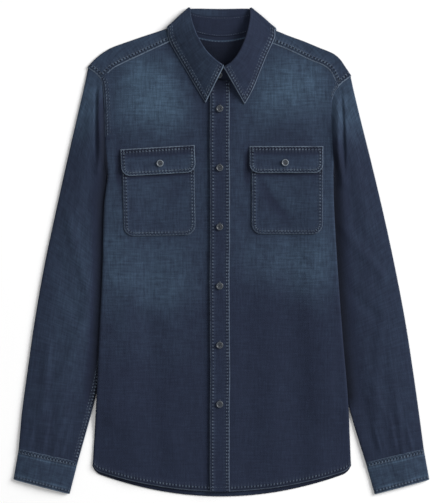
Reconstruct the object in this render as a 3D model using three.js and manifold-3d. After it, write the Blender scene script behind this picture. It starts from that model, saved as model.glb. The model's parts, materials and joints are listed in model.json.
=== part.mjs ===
// Denim shirt laid flat on its back: front up, collar at +Y, sleeves brought down beside the body.
// Millimetres, +Z up, underside at z = 0. The wearer's right is at -X and the wearer's left at +X.
import * as THREE from "three";
import Module from "manifold-3d";

const { smoothstep, lerp, clamp, degToRad } = THREE.MathUtils;

// Cloth
const CLOTH = 1.2; // wall of one panel
const BAND = 1.6; // wall of collar, stand and cuffs: two plies and an interlining
const SEAM = 0.3; // distance between neighbouring pieces
const REST = 0.5; // distance from a panel to a patch that lies on it
const LAYER = CLOTH + SEAM; // rise of a panel that lies on another
const LOFT_AT_SEAM = 0.4; // air between front and back at the side seams and shoulders
const LOFT = 1.7; // further air between them in the middle of the body

// Body
const BACK_YOKE_SEAM = 245; // height of the seam that joins the yoke to the back
const FRONT_HEM = -395.5; // lowest point of the front hem
const BACK_HEM = -404; // lowest point of the back hem
const HEM_RISE_FRONT = 30; // rise of the curved hem from the middle to HEM_REACH
const HEM_RISE_BACK = 34;
const HEM_REACH = 195;
const HEM_CORNER = 14; // radius where hem and side seam meet
const NECK_DROP = 283; // lowest point of the front neck seam
const BACK_NECK = 354; // lowest point of the back neck seam
const BACK_NECK_RISE = 18; // rise of the back neck seam from there to the neck point
const NECK_GAP = 0.9; // distance from a panel's neck edge to the middle of the slanting stand
const SHOULDER_FOLD = 1.4; // reach of the folded cloth past the middle of its turn at the shoulder line
const NECK_POINT = 68; // half width of the neck where the shoulders meet the stand
const UNDERLAP = 14; // reach of the right front past the middle, under the left front
const PLACKET_FREE = -18.3; // free edge of the placket
const PLACKET_CREASE = 13.5; // sewn edge of the placket
const PLACKET_BASE = -17.3; // edge of the left front, just inside the free edge

// Sleeves
const SLEEVE_EDGE = 4.4; // height of a sleeve along its edges
const SLEEVE_CROWN = 2.0; // further height along its middle
const BODY_ON_SLEEVE = 5.0; // rise of the body's side where it lies on the sleeve
const ON_SLEEVE = { flat: 21, ramp: 64, armpit: [118, 168], release: [-312, -250] };
const SLEEVE_ROUND = 12; // power that rounds a tube's two long edges
const CUFF_HEIGHT = 6.0;
// The cuff's underside rests on its button; top is the share of that rise which its upper side takes.
const CUFF_ON_BUTTON = { flat: 14, ramp: 12, top: 0.4 };

// Buttons
const BUTTON = { radius: 5.65, height: 2.4, rim: 1.3, dish: 0.7 };
const FIRST_BUTTON = 235.6;
const BUTTON_PITCH = 97.5;
const BUTTON_X = -2.6;
const COLLAR_BUTTON = { across: 0.4, up: 0.42 }; // shares from the stand's end and from its neck seam

const DENIM = { color: 0x2c3648, roughness: 0.86, metalness: 0 };
const DENIM_FADED = { color: 0x3d5064, roughness: 0.86, metalness: 0 };
const BUTTON_RESIN = { color: 0x4a4d54, roughness: 0.4, metalness: 0 };

// Outline of the body from the hem to the shoulder point, as distances from the middle line.
// Side seam up to the armpit at y = 131, then the armhole.
const BODY_EDGE = {
  right: [
    { y: -365, x: 213.2 },
    { y: -248, x: 206 },
    { y: -148, x: 201.3 },
    { y: -30, x: 195.8 },
    { y: 75, x: 193 },
    { y: 131, x: 187 },
    { y: 180, x: 190.6 },
    { y: 235, x: 191.8 },
    { y: 272, x: 194.4 },
    { y: 284, x: 197.7 },
    { y: 296, x: 209.4 },
    { y: 303.6, x: 219.9 },
  ],
  left: [
    { y: -365, x: 214.6 },
    { y: -248, x: 209 },
    { y: -148, x: 200.6 },
    { y: -30, x: 191.8 },
    { y: 75, x: 185.8 },
    { y: 131, x: 184.6 },
    { y: 180, x: 183.2 },
    { y: 225, x: 180.8 },
    { y: 253, x: 182.7 },
    { y: 266, x: 187.8 },
    { y: 277, x: 197.6 },
    { y: 289.6, x: 213.5 },
  ],
};

// Seam between yoke and front, from the neck to the armhole.
const YOKE_SEAM = {
  right: [
    { x: 66.5, y: 356.4 },
    { x: 120, y: 331.8 },
    { x: 161, y: 312.8 },
    { x: 180, y: 302.3 },
    { x: 198.2, y: 284.96 },
  ],
  left: [
    { x: 65.5, y: 351.4 },
    { x: 104.4, y: 337 },
    { x: 148.7, y: 316.5 },
    { x: 172, y: 306.5 },
    { x: 183, y: 295 },
    { x: 193.2, y: 272.47 },
  ],
};

// Shoulder line, where the yoke folds over to the front.
const SHOULDER = {
  right: [
    { x: 68, y: 374.3 },
    { x: 88.8, y: 367.9 },
    { x: 125.9, y: 355.6 },
    { x: 153.9, y: 345.7 },
    { x: 180.3, y: 335.8 },
    { x: 196.8, y: 325.9 },
    { x: 208.4, y: 316 },
    { x: 219.9, y: 303.6 },
  ],
  left: [
    { x: 68, y: 372.6 },
    { x: 87, y: 365.6 },
    { x: 111.7, y: 355.6 },
    { x: 138.1, y: 345.7 },
    { x: 161.2, y: 335.8 },
    { x: 184.3, y: 325.9 },
    { x: 195.9, y: 316 },
    { x: 202.5, y: 306.1 },
    { x: 213.5, y: 289.6 },
  ],
};

// Each sleeve from armhole to cuff seam: its outer and its inner edge at ten stations.
const SLEEVE = {
  right: [
    { k: 0, outerX: 219.9, outerY: 303.6, innerX: 187.4, innerY: 131 },
    { k: 1, outerX: 226.2, outerY: 273, innerX: 188.8, innerY: 117 },
    { k: 2, outerX: 238, outerY: 222, innerX: 184, innerY: 95 },
    { k: 3, outerX: 254, outerY: 153, innerX: 178.5, innerY: 50 },
    { k: 4, outerX: 273, outerY: 67, innerX: 178, innerY: -14 },
    { k: 5, outerX: 292, outerY: -22, innerX: 183, innerY: -90 },
    { k: 6, outerX: 308, outerY: -113, innerX: 191, innerY: -158 },
    { k: 7, outerX: 320.2, outerY: -198, innerX: 202, innerY: -217 },
    { k: 8, outerX: 329.4, outerY: -266, innerX: 217, innerY: -276 },
    { k: 9, outerX: 334.8, outerY: -327, innerX: 237.3, innerY: -348.9 },
  ],
  left: [
    { k: 0, outerX: 213.5, outerY: 289.6, innerX: 185, innerY: 131 },
    { k: 1, outerX: 219, outerY: 264, innerX: 186, innerY: 117 },
    { k: 2, outerX: 231, outerY: 214, innerX: 180, innerY: 95 },
    { k: 3, outerX: 248, outerY: 146, innerX: 171.5, innerY: 50 },
    { k: 4, outerX: 267.5, outerY: 64, innerX: 172, innerY: -14 },
    { k: 5, outerX: 286.5, outerY: -24, innerX: 178.5, innerY: -90 },
    { k: 6, outerX: 303.5, outerY: -113, innerX: 189, innerY: -158 },
    { k: 7, outerX: 316.5, outerY: -196, innerX: 201, innerY: -217 },
    { k: 8, outerX: 326.4, outerY: -266, innerX: 216, innerY: -276 },
    { k: 9, outerX: 334.5, outerY: -327.2, innerX: 238.8, innerY: -349.8 },
  ],
};

// Each cuff: the corners of its flattened band, and the button on its underside.
const CUFF = {
  right: {
    seamOuter: [334.9, -327.4],
    seamInner: [237.4, -349.3],
    endOuter: [343.3, -376],
    endInner: [250.5, -400.3],
    button: [305, -361],
  },
  left: {
    seamOuter: [334.6, -327.6],
    seamInner: [238.9, -350.2],
    endOuter: [343.5, -376.4],
    endInner: [253.3, -400.6],
    button: [306, -361.4],
  },
};

// Collar stations from the front corner of a leaf to the crease beside the shoulder.
// Fold: where the leaf turns over the stand. Neck: degrees round the front neck seam from its lowest point.
// Edge: outer edge of the leaf. Stand and leaf: how far each lies above the collar's middle surface.
const COLLAR = {
  right: [
    { foldX: -2.8, foldY: 303.2, foldZ: 15.5, neck: -5, edgeX: 26.1, edgeY: 246, stand: -0.8, leaf: 5.2 },
    { foldX: 11.6, foldY: 314.6, foldZ: 17.5, neck: 17, edgeX: 42.5, edgeY: 273.8, stand: 0.4, leaf: 4.2 },
    { foldX: 25.2, foldY: 328.6, foldZ: 18, neck: 35, edgeX: 57.8, edgeY: 300, stand: 0.9, leaf: 3.6 },
    { foldX: 36.8, foldY: 346.9, foldZ: 18, neck: 53, edgeX: 71, edgeY: 322.5, stand: 0.9, leaf: 3.4 },
    { foldX: 45.2, foldY: 365.4, foldZ: 15.5, neck: 69, edgeX: 82, edgeY: 342, stand: 0.9, leaf: 3.3 },
    { foldX: 51.0, foldY: 386, foldZ: 9.5, neck: 84, edgeX: 87.3, edgeY: 356, stand: 0.9, leaf: 3.3 },
  ],
  left: [
    { foldX: 4.8, foldY: 302, foldZ: 15.5, neck: 8, edgeX: 38.6, edgeY: 243.6, stand: 2.2, leaf: 5.2 },
    { foldX: 16.6, foldY: 309.4, foldZ: 17.5, neck: 20, edgeX: 52, edgeY: 268.5, stand: 1.5, leaf: 4.4 },
    { foldX: 27.6, foldY: 322.6, foldZ: 18, neck: 36, edgeX: 64, edgeY: 298, stand: 0.9, leaf: 3.6 },
    { foldX: 37.4, foldY: 342, foldZ: 18, neck: 53, edgeX: 75, edgeY: 325, stand: 0.9, leaf: 3.4 },
    { foldX: 44.6, foldY: 363.4, foldZ: 15.5, neck: 69, edgeX: 84, edgeY: 344, stand: 0.9, leaf: 3.3 },
    { foldX: 48.4, foldY: 386, foldZ: 9.5, neck: 84, edgeX: 88.2, edgeY: 355, stand: 0.9, leaf: 3.3 },
  ],
};
// The crease beside the shoulder, and the back of the collar from there to the middle.
const CREASE = {
  right: { foldX: 52.4, foldY: 399.4, neckX: 65.2, neckY: 373, edgeX: 87.6, edgeY: 366.8 },
  left: { foldX: 48.2, foldY: 399.2, neckX: 65.2, neckY: 371.4, edgeX: 88.2, edgeY: 365 },
};
const COLLAR_BACK = [
  { foldX: 37, foldY: 399.4, neckX: 45, edgeX: 60, edgeY: 355.6, lip: 9 },
  { foldX: 18, foldY: 398.9, neckX: 22, edgeX: 29, edgeY: 347.4, lip: 11 },
  { foldX: 0, foldY: 398.7, neckX: 0, edgeX: 0, edgeY: 345, lip: 11 },
];
const STAND_END = {
  right: { foldX: -14, foldY: 300.6, foldZ: 14.4, neck: -11, stand: -1.4 },
  left: { foldX: -11.5, foldY: 301.8, foldZ: 14.4, neck: -10, stand: 2.8 },
};
const CORE_FLAT = 4.1; // height of the collar's middle surface where it lies flat
const STAND_OFFSET = 0.9;
const LEAF_OFFSET = 3.3;
const LIP = 4; // reach of the leaf past the fold, down to its seam with the stand; more at the back
const CREASE_TURNS = [0, 45, 90, 135, 180]; // degrees
const LEAF_BACK_EDGE = 345; // where the leaf's edge crosses the middle of the back
const LEAF_BACK_RISE = 23; // rise of that edge at the crease

// Soft folds of the fronts and the yoke: ridges where rise is positive, troughs where it is negative.
const FOLDS = [
  { x1: -158, y1: -60, x2: -140, y2: -372, rise: 1.3, half: 24 },
  { x1: -84, y1: -60, x2: -70, y2: -384, rise: 1.0, half: 24 },
  { x1: 76, y1: -40, x2: 92, y2: -384, rise: 1.2, half: 24 },
  { x1: 152, y1: -50, x2: 162, y2: -368, rise: 1.1, half: 22 },
  { x1: -112, y1: -130, x2: -102, y2: -372, rise: -0.6, half: 20 },
  { x1: 122, y1: -120, x2: 128, y2: -376, rise: -0.6, half: 20 },
  { x1: -104, y1: 318, x2: -96, y2: 226, rise: 0.8, half: 20 },
  { x1: 112, y1: 314, x2: 102, y2: 222, rise: 0.8, half: 20 },
];
// Soft folds of a sleeve: stations k along it, shares a across it from the outer edge.
const SLEEVE_FOLDS = {
  right: [
    { k1: 0.1, a1: 0.34, k2: 2.2, a2: 0.62, rise: 2.2, half: 7 },
    { k1: 0.1, a1: 0.56, k2: 1.6, a2: 0.8, rise: -1.2, half: 6 },
    { k1: 1.4, a1: 0.2, k2: 4.2, a2: 0.34, rise: 1.3, half: 11 },
    { k1: 3.9, a1: 0.16, k2: 5.2, a2: 0.74, rise: 1.7, half: 9 },
    { k1: 4.6, a1: 0.1, k2: 5.7, a2: 0.58, rise: -1.1, half: 9 },
    { k1: 5.4, a1: 0.7, k2: 7.4, a2: 0.42, rise: 1.5, half: 10 },
    { k1: 6.4, a1: 0.24, k2: 8.9, a2: 0.36, rise: 1.3, half: 8 },
    { k1: 7.9, a1: 0.62, k2: 9, a2: 0.58, rise: 1.2, half: 6 },
  ],
  left: [
    { k1: 0.1, a1: 0.4, k2: 2.6, a2: 0.58, rise: 2.3, half: 8 },
    { k1: 0.1, a1: 0.62, k2: 1.7, a2: 0.82, rise: -1.2, half: 6 },
    { k1: 1.6, a1: 0.24, k2: 4.0, a2: 0.3, rise: 1.4, half: 11 },
    { k1: 3.6, a1: 0.7, k2: 5.0, a2: 0.2, rise: 1.6, half: 9 },
    { k1: 4.7, a1: 0.78, k2: 5.8, a2: 0.36, rise: -1.0, half: 9 },
    { k1: 5.6, a1: 0.3, k2: 7.6, a2: 0.6, rise: 1.5, half: 10 },
    { k1: 6.8, a1: 0.76, k2: 8.8, a2: 0.66, rise: 1.2, half: 8 },
    { k1: 7.8, a1: 0.3, k2: 9, a2: 0.36, rise: 1.3, half: 6 },
  ],
};

// Chest pockets and their flaps: centre, tilt in degrees, and size.
const POCKET = {
  right: { x: -102.6, y: 89, tilt: 1.2, width: 118, height: 125, corner: 17 },
  left: { x: 108.9, y: 90, tilt: -0.2, width: 117, height: 122, corner: 17 },
};
const FLAP = {
  right: { x: -104.2, y: 149.6, tilt: 3.4, width: 122, height: 44, corner: 15, button: [-101, 145.4] },
  left: { x: 107.4, y: 151.6, tilt: 0, width: 121, height: 43.5, corner: 15, button: [105.3, 146.5] },
};
const FLAP_SEWN = 9; // strip of the flap that is sewn straight to the front, above the pocket

// Shares of an armhole, from the shoulder point to the armpit, at which yoke, fronts, back and sleeve
// all have a corner.
const ARMHOLE = [0, 0.012, 0.04, 0.07, 0.108, 0.15, 0.2, 0.28, 0.42, 0.58, 0.74, 0.87, 0.95, 0.988, 1];
const SEAM_ON_ARMHOLE = 4; // corner at which the yoke seam meets the armhole
const BACK_SEAM_ON_ARMHOLE = 8; // first corner of the armhole that belongs to the back
// Heights of the side seam's corners, from just above the hem up to the armpit.
const SIDE_ROWS = [-322, -298, -276, -252, -222, -184, -144, -100, -56, -12, 32, 72, 104, 131];
// Shares of a shoulder from neck to armhole at which yoke and front both have a corner.
const SHOULDER_ROWS = [0, 0.14, 0.28, 0.42, 0.56, 0.7, 0.82, 0.92, 1];

const point = (x, y, z) => new THREE.Vector3(x, y, z);
const steps = (count) => Array.from({ length: count + 1 }, (_, i) => i / count);
const signOf = (side) => (side === "right" ? -1 : 1);
const sideAt = (x) => (x < 0 ? "right" : "left");

// Value of a column at a place in a table's first column, on a cubic through every row.
function along(table, first, column, at) {
  let k = 0;
  while (k < table.length - 2 && table[k + 1][first] < at) k += 1;
  const slope = (i) => {
    const before = table[Math.max(i - 1, 0)];
    const after = table[Math.min(i + 1, table.length - 1)];
    return (after[column] - before[column]) / (after[first] - before[first]);
  };
  const span = table[k + 1][first] - table[k][first];
  const t = clamp((at - table[k][first]) / span, 0, 1);
  const keep = t * t * (3 - 2 * t);
  const bend = t * (1 - t) * (slope(k) * (1 - t) - slope(k + 1) * t) * span;
  return lerp(table[k][column], table[k + 1][column], keep) + bend;
}

// Spacing from 0 to 1 that is closer at both ends.
const closerAtEnds = (count) => steps(count).map((t) => (1 - Math.cos(Math.PI * t)) / 2);

// A height that rises or falls softly along the line from (x1, y1) to (x2, y2).
function softFold(x, y, fold) {
  const dx = fold.x2 - fold.x1;
  const dy = fold.y2 - fold.y1;
  const share = clamp(((x - fold.x1) * dx + (y - fold.y1) * dy) / (dx * dx + dy * dy), 0, 1);
  const away = Math.hypot(x - fold.x1 - share * dx, y - fold.y1 - share * dy);
  return fold.rise * Math.exp(-((away / fold.half) ** 2));
}

// Closed solid between an outer and an inner grid of points; around joins the last column to the first.
function shell(outer, inner, around = false) {
  const rows = outer.length;
  const columns = outer[0].length;
  const positions = [...outer.flat(), ...inner.flat()].flatMap((p) => [p.x, p.y, p.z]);
  const at = (layer, i, j) => layer * rows * columns + i * columns + (j % columns);
  const faces = [];
  const quad = (a, b, c, d) => faces.push(a, b, c, a, c, d);
  const last = around ? columns : columns - 1;
  for (let i = 0; i < rows - 1; i += 1) {
    for (let j = 0; j < last; j += 1) {
      quad(at(0, i, j), at(0, i, j + 1), at(0, i + 1, j + 1), at(0, i + 1, j));
      quad(at(1, i, j), at(1, i + 1, j), at(1, i + 1, j + 1), at(1, i, j + 1));
    }
  }
  for (let j = 0; j < last; j += 1) {
    quad(at(0, 0, j + 1), at(0, 0, j), at(1, 0, j), at(1, 0, j + 1));
    quad(at(0, rows - 1, j), at(0, rows - 1, j + 1), at(1, rows - 1, j + 1), at(1, rows - 1, j));
  }
  if (!around) {
    for (let i = 0; i < rows - 1; i += 1) {
      quad(at(0, i, 0), at(0, i + 1, 0), at(1, i + 1, 0), at(1, i, 0));
      quad(at(0, i + 1, last), at(0, i, last), at(1, i, last), at(1, i + 1, last));
    }
  }
  return facingOut(positions, faces);
}

// Geometry whose faces point outwards, turned round if its volume comes out negative.
function facingOut(positions, faces) {
  const corner = (k) => point(positions[3 * k], positions[3 * k + 1], positions[3 * k + 2]);
  let volume = 0;
  for (let f = 0; f < faces.length; f += 3) {
    volume += corner(faces[f]).dot(corner(faces[f + 1]).cross(corner(faces[f + 2])));
  }
  const geometry = new THREE.BufferGeometry();
  geometry.setAttribute("position", new THREE.Float32BufferAttribute(positions, 3));
  geometry.setIndex(volume < 0 ? [...faces].reverse() : faces);
  return geometry;
}

// Flat-lying panel: a grid of plan points, the height of its underside there, and its thickness.
function slab(plan, underside, thickness) {
  const lower = plan.map((row) => row.map((p) => point(p.x, p.y, underside(p.x, p.y))));
  const upper = lower.map((row) => row.map((p) => point(p.x, p.y, p.z + thickness)));
  return shell(upper, lower);
}

// Wall of even thickness on both sides of a surface given as a grid of points.
function wall(surface, thickness) {
  const normals = surface.map((row, i) =>
    row.map((_, j) => {
      const before = surface[Math.max(i - 1, 0)][j];
      const after = surface[Math.min(i + 1, surface.length - 1)][j];
      const left = row[Math.max(j - 1, 0)];
      const right = row[Math.min(j + 1, row.length - 1)];
      return after.clone().sub(before).cross(right.clone().sub(left)).normalize();
    }),
  );
  const offset = (distance) =>
    surface.map((row, i) => row.map((p, j) => p.clone().addScaledVector(normals[i][j], distance)));
  return shell(offset(thickness / 2), offset(-thickness / 2));
}

const wasm = await Module();
wasm.setup();

// Union of closed geometries as one closed geometry.
function joined(geometries) {
  const solids = geometries.map(
    (g) =>
      new wasm.Manifold(
        new wasm.Mesh({
          numProp: 3,
          vertProperties: new Float32Array(g.getAttribute("position").array),
          triVerts: new Uint32Array(g.getIndex().array),
        }),
      ),
  );
  const mesh = solids.reduce((sum, solid) => sum.add(solid)).getMesh();
  const geometry = new THREE.BufferGeometry();
  geometry.setAttribute("position", new THREE.BufferAttribute(mesh.vertProperties, 3));
  geometry.setIndex(new THREE.BufferAttribute(mesh.triVerts, 1));
  return geometry;
}

const edgeAt = (side, y) => along(BODY_EDGE[side], "y", "x", y);
const shoulderAt = (side, x) => along(SHOULDER[side], "x", "y", x);

// Height of the armhole at a share from the shoulder point to the armpit.
function armholeAt(side, share) {
  const { outerY, innerY } = SLEEVE[side][0];
  return lerp(outerY, innerY, share);
}

// Rise of the bottom layer: over the sleeve at the sides, and over the leaf behind the neck.
function bottomLayer(x, y) {
  const fromEdge = edgeAt(sideAt(x), y) - Math.abs(x);
  const { flat, ramp, armpit, release } = ON_SLEEVE;
  const beside = (1 - smoothstep(y, ...armpit)) * smoothstep(y, ...release);
  const overSleeve = BODY_ON_SLEEVE * beside * (1 - smoothstep(fromEdge, flat, flat + ramp));
  const leafEdge = LEAF_BACK_EDGE + LEAF_BACK_RISE * (x / CREASE.right.edgeX) ** 2;
  return overSleeve + (BAND + SEAM) * smoothstep(y, leafEdge - 24, leafEdge - 6);
}

// Underside of the top layer: fronts and the front of the yoke.
function topLayer(x, y) {
  const side = sideAt(x);
  const fromEdge = edgeAt(side, y) - Math.abs(x);
  const shoulder = shoulderAt(side, Math.abs(x));
  const open = smoothstep(fromEdge, 0, 60) * (1 - smoothstep(y, shoulder - 70, shoulder - 8));
  const folds = FOLDS.reduce((sum, fold) => sum + softFold(x, y, fold), 0);
  const air = LOFT_AT_SEAM + (LOFT + folds) * open;
  return bottomLayer(x, y) + LAYER + air;
}

// The left front lies on the right front along the middle.
function leftFrontUnderside(x, y) {
  return topLayer(x, y) + LAYER * (1 - smoothstep(x, UNDERLAP + 2, UNDERLAP + 32));
}

const frontUnderside = (side) => (side === "right" ? topLayer : leftFrontUnderside);
const frontSurface = (x, y) => (x < PLACKET_BASE ? topLayer(x, y) : leftFrontUnderside(x, y)) + CLOTH;

// Height of a curved hem, with a round corner at the side seam.
function hemAt(x, side, lowest, rise) {
  const reach = edgeAt(side, lowest) + 0.2;
  const past = clamp((Math.abs(x) - reach + HEM_CORNER) / HEM_CORNER, 0, 1);
  const corner = HEM_CORNER * (1 - Math.sqrt(1 - past * past));
  return lowest + rise * (x / HEM_REACH) ** 2 + corner;
}

// Top edge of a front: the round of the neck, then the yoke seam.
function frontTopAt(side, x) {
  const neck = YOKE_SEAM[side][0];
  const out = Math.abs(x);
  if (out >= neck.x) return along(YOKE_SEAM[side], "x", "y", out);
  return neck.y - (neck.y - NECK_DROP) * Math.sqrt(1 - (out / neck.x) ** 2);
}

// Heights of a panel's corners along its outer edge, as shares from its lowest to its highest.
function edgeShares(side, lowest, armholeCorners, top) {
  const heights = [lowest, ...SIDE_ROWS, ...armholeCorners.map((share) => armholeAt(side, share)), top];
  return heights.map((y) => (y - lowest) / (top - lowest));
}

function frontPanel(side) {
  const sign = signOf(side);
  const seam = YOKE_SEAM[side];
  const middle = side === "right" ? -UNDERLAP : PLACKET_BASE;
  const guide = (y) => edgeAt(side, Math.min(y, seam.at(-1).y));
  const lowest = hemAt(sign * guide(FRONT_HEM), side, FRONT_HEM, HEM_RISE_FRONT);
  const rows = edgeShares(side, lowest, ARMHOLE.slice(SEAM_ON_ARMHOLE + 1, -1).reverse(), seam.at(-1).y);
  const neckRows = [STAND_END[side], ...COLLAR[side]];
  const neckX = [middle, ...neckRows.map((row) => seam[0].x * Math.sin(degToRad(row.neck)))];
  const topX = [...neckX, ...SHOULDER_ROWS.map((f) => lerp(seam[0].x, seam.at(-1).x, f))];
  const plan = rows.map((v) =>
    topX.map((highX, column) => {
      const highShare = (highX - middle) / (seam.at(-1).x - middle);
      const even = column / (topX.length - 1);
      const lowShare = lerp(even, 1 - (1 - even) ** 2, 0.3);
      const share = lerp(lowShare, highShare, v);
      let x = 0;
      let y = lerp(FRONT_HEM, NECK_DROP, v);
      for (let pass = 0; pass < 8; pass += 1) {
        x = sign * lerp(middle, guide(y), share);
        y = lerp(hemAt(x, side, FRONT_HEM, HEM_RISE_FRONT), frontTopAt(side, sign * highX), v);
      }
      return { x, y };
    }),
  );
  return slab(plan, frontUnderside(side), CLOTH);
}

function backPanel() {
  const [right, left] = ["right", "left"].map((side) => {
    const lowest = hemAt(signOf(side) * edgeAt(side, BACK_HEM), side, BACK_HEM, HEM_RISE_BACK);
    return edgeShares(side, lowest, ARMHOLE.slice(BACK_SEAM_ON_ARMHOLE, -1).reverse(), BACK_YOKE_SEAM - SEAM);
  });
  const plan = right.map((_, row) =>
    steps(16).map((t) => {
      const s = lerp(t, (1 - Math.cos(Math.PI * t)) / 2, 0.6);
      const v = lerp(right[row], left[row], s);
      let x = 0;
      let y = lerp(BACK_HEM, BACK_YOKE_SEAM, v);
      for (let pass = 0; pass < 8; pass += 1) {
        x = lerp(-edgeAt("right", y), edgeAt("left", y), s);
        y = lerp(hemAt(x, sideAt(x), BACK_HEM, HEM_RISE_BACK), BACK_YOKE_SEAM - SEAM, v);
      }
      return { x, y };
    }),
  );
  return slab(plan, bottomLayer, CLOTH);
}

// One shoulder of the yoke: from the seam with the back, up to the shoulder line, over and down to the front.
function yokeShoulder(side) {
  const sign = signOf(side);
  const seam = YOKE_SEAM[side];
  const shoulderPoint = SHOULDER[side].at(-1);
  const armhole = ARMHOLE.slice(0, BACK_SEAM_ON_ARMHOLE).map((share) => {
    const y = armholeAt(side, share);
    return { x: edgeAt(side, y), y };
  });
  const backEnd = { x: edgeAt(side, BACK_YOKE_SEAM), y: BACK_YOKE_SEAM };
  // Points of one path across the yoke: even between its ends, bent towards the armhole's own corners.
  const bent = (from, to, corners, f) =>
    corners.map((corner, i) => {
      const t = i / (corners.length - 1);
      const first = corners[0];
      const last = corners.at(-1);
      return {
        x: sign * (lerp(from.x, to.x, t) + f * (corner.x - lerp(first.x, last.x, t))),
        y: lerp(from.y, to.y, t) + f * (corner.y - lerp(first.y, last.y, t)),
      };
    });
  const surface = SHOULDER_ROWS.map((f) => {
    const topX = lerp(NECK_POINT, shoulderPoint.x, f);
    const top = { x: topX, y: shoulderAt(side, topX) - SHOULDER_FOLD * (1 - f) };
    const frontX = lerp(seam[0].x, seam.at(-1).x, f);
    const slope = along(seam, "x", "y", frontX + 1) - along(seam, "x", "y", frontX - 1);
    const away = SEAM / Math.hypot(slope, 2);
    const front = { x: frontX - slope * away, y: along(seam, "x", "y", frontX) + 2 * away };
    const low = { x: lerp(NECK_POINT - 6, backEnd.x, f), y: BACK_YOKE_SEAM };
    const under = bent(low, top, [backEnd, ...[...armhole].reverse()], f);
    const over = bent(top, front, armhole.slice(0, SEAM_ON_ARMHOLE + 1), f);
    const lower = under.map((p) => point(p.x, p.y, bottomLayer(p.x, p.y) + CLOTH / 2));
    const upper = over.map((p) => point(p.x, p.y, topLayer(p.x, p.y) + CLOTH / 2));
    const radius = (upper[0].z - lower.at(-1).z) / 2;
    const out = point(upper[0].x - upper[1].x, upper[0].y - upper[1].y, 0).normalize();
    const turn = [45, 90, 135].map((degrees) =>
      lower
        .at(-1)
        .clone()
        .addScaledVector(out, radius * Math.sin(degToRad(degrees)))
        .add(point(0, 0, radius * (1 - Math.cos(degToRad(degrees))))),
    );
    return [...lower, ...turn, ...upper];
  });
  return wall(surface, CLOTH);
}

// The seam between yoke and stand behind the neck.
const backNeckAt = (x) => BACK_NECK + BACK_NECK_RISE * (x / NECK_POINT) ** 2;

// The yoke between the shoulders, behind the neck.
function yokeMiddle() {
  const plan = steps(8).map((v) =>
    steps(12).map((s) => {
      const share = 2 * s - 1;
      const x = share * (lerp(NECK_POINT - 6, NECK_POINT, v) + 0.6);
      const neck = backNeckAt(x);
      return { x, y: lerp(BACK_YOKE_SEAM, Math.min(neck, shoulderAt(sideAt(x), NECK_POINT) - 1.2), v) };
    }),
  );
  return slab(plan, bottomLayer, CLOTH);
}

const yoke = () => joined([yokeShoulder("right"), yokeMiddle(), yokeShoulder("left")]);

// Ring of a flattened tube: shares across it, low side first, then back along the high side.
function tubeRing(across, low, high, inset) {
  const half = (a) => Math.sqrt(Math.max(1 - Math.abs(2 * a - 1) ** SLEEVE_ROUND, 0));
  const place = (a, up) => {
    const plan = across(a);
    const bottom = low(plan.x, plan.y, a) + inset;
    const top = high(plan.x, plan.y, a) - inset;
    const middle = (bottom + top) / 2;
    const reach = (Math.max(top - bottom, 0.3) / 2) * half(a);
    return point(plan.x, plan.y, middle + up * reach);
  };
  const under = ARMHOLE.map((a) => place(a, -1));
  const over = ARMHOLE.slice(1, -1).reverse().map((a) => place(a, 1));
  return [...under, ...over];
}

// Plan point at share a across section k of a sleeve; inset pulls both edges in.
function sleevePlan(side, k, a, inset) {
  const row = (column) => along(SLEEVE[side], "k", column, k);
  const width = Math.hypot(row("outerX") - row("innerX"), row("outerY") - row("innerY"));
  const share = lerp(inset / width, 1 - inset / width, a);
  const y = lerp(row("outerY"), row("innerY"), share);
  const first = SLEEVE[side][0];
  const armholeY = armholeAt(side, a);
  const bulge = edgeAt(side, armholeY) + SEAM + 0.1 - lerp(first.outerX, first.innerX, share);
  const x = lerp(row("outerX"), row("innerX"), share) + bulge * (1 - smoothstep(k, 0, 3));
  return { x: signOf(side) * x, y };
}

function sleeve(side) {
  const folds = SLEEVE_FOLDS[side].map((fold) => {
    const from = sleevePlan(side, fold.k1, fold.a1, 0);
    const to = sleevePlan(side, fold.k2, fold.a2, 0);
    return { x1: from.x, y1: from.y, x2: to.x, y2: to.y, rise: fold.rise, half: fold.half };
  });
  const crown = (a) => smoothstep(a, 0, 0.25) * (1 - smoothstep(a, 0.6, 0.82));
  const last = SLEEVE[side].length - 1;
  const stations = steps(17).map((t) => last * t ** 1.2);
  const ring = (k, inset) => {
    const atBody = 1 - smoothstep(k, 0, 1.3);
    const atCuff = smoothstep(k, last - 1, last);
    const low = (x, y) => bottomLayer(x, y) * atBody;
    const high = (x, y, a) => {
      const lift = folds.reduce((sum, fold) => sum + softFold(x, y, fold), 0) * crown(a);
      const free = lerp(SLEEVE_EDGE + SLEEVE_CROWN * crown(a), CUFF_HEIGHT - 0.6, atCuff) + lift;
      return lerp(free, topLayer(x, y) + CLOTH, atBody);
    };
    return tubeRing((a) => sleevePlan(side, k, a, inset), low, high, inset);
  };
  return shell(
    stations.map((k) => ring(k, 0)),
    stations.map((k) => ring(k, CLOTH)),
    true,
  );
}

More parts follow.
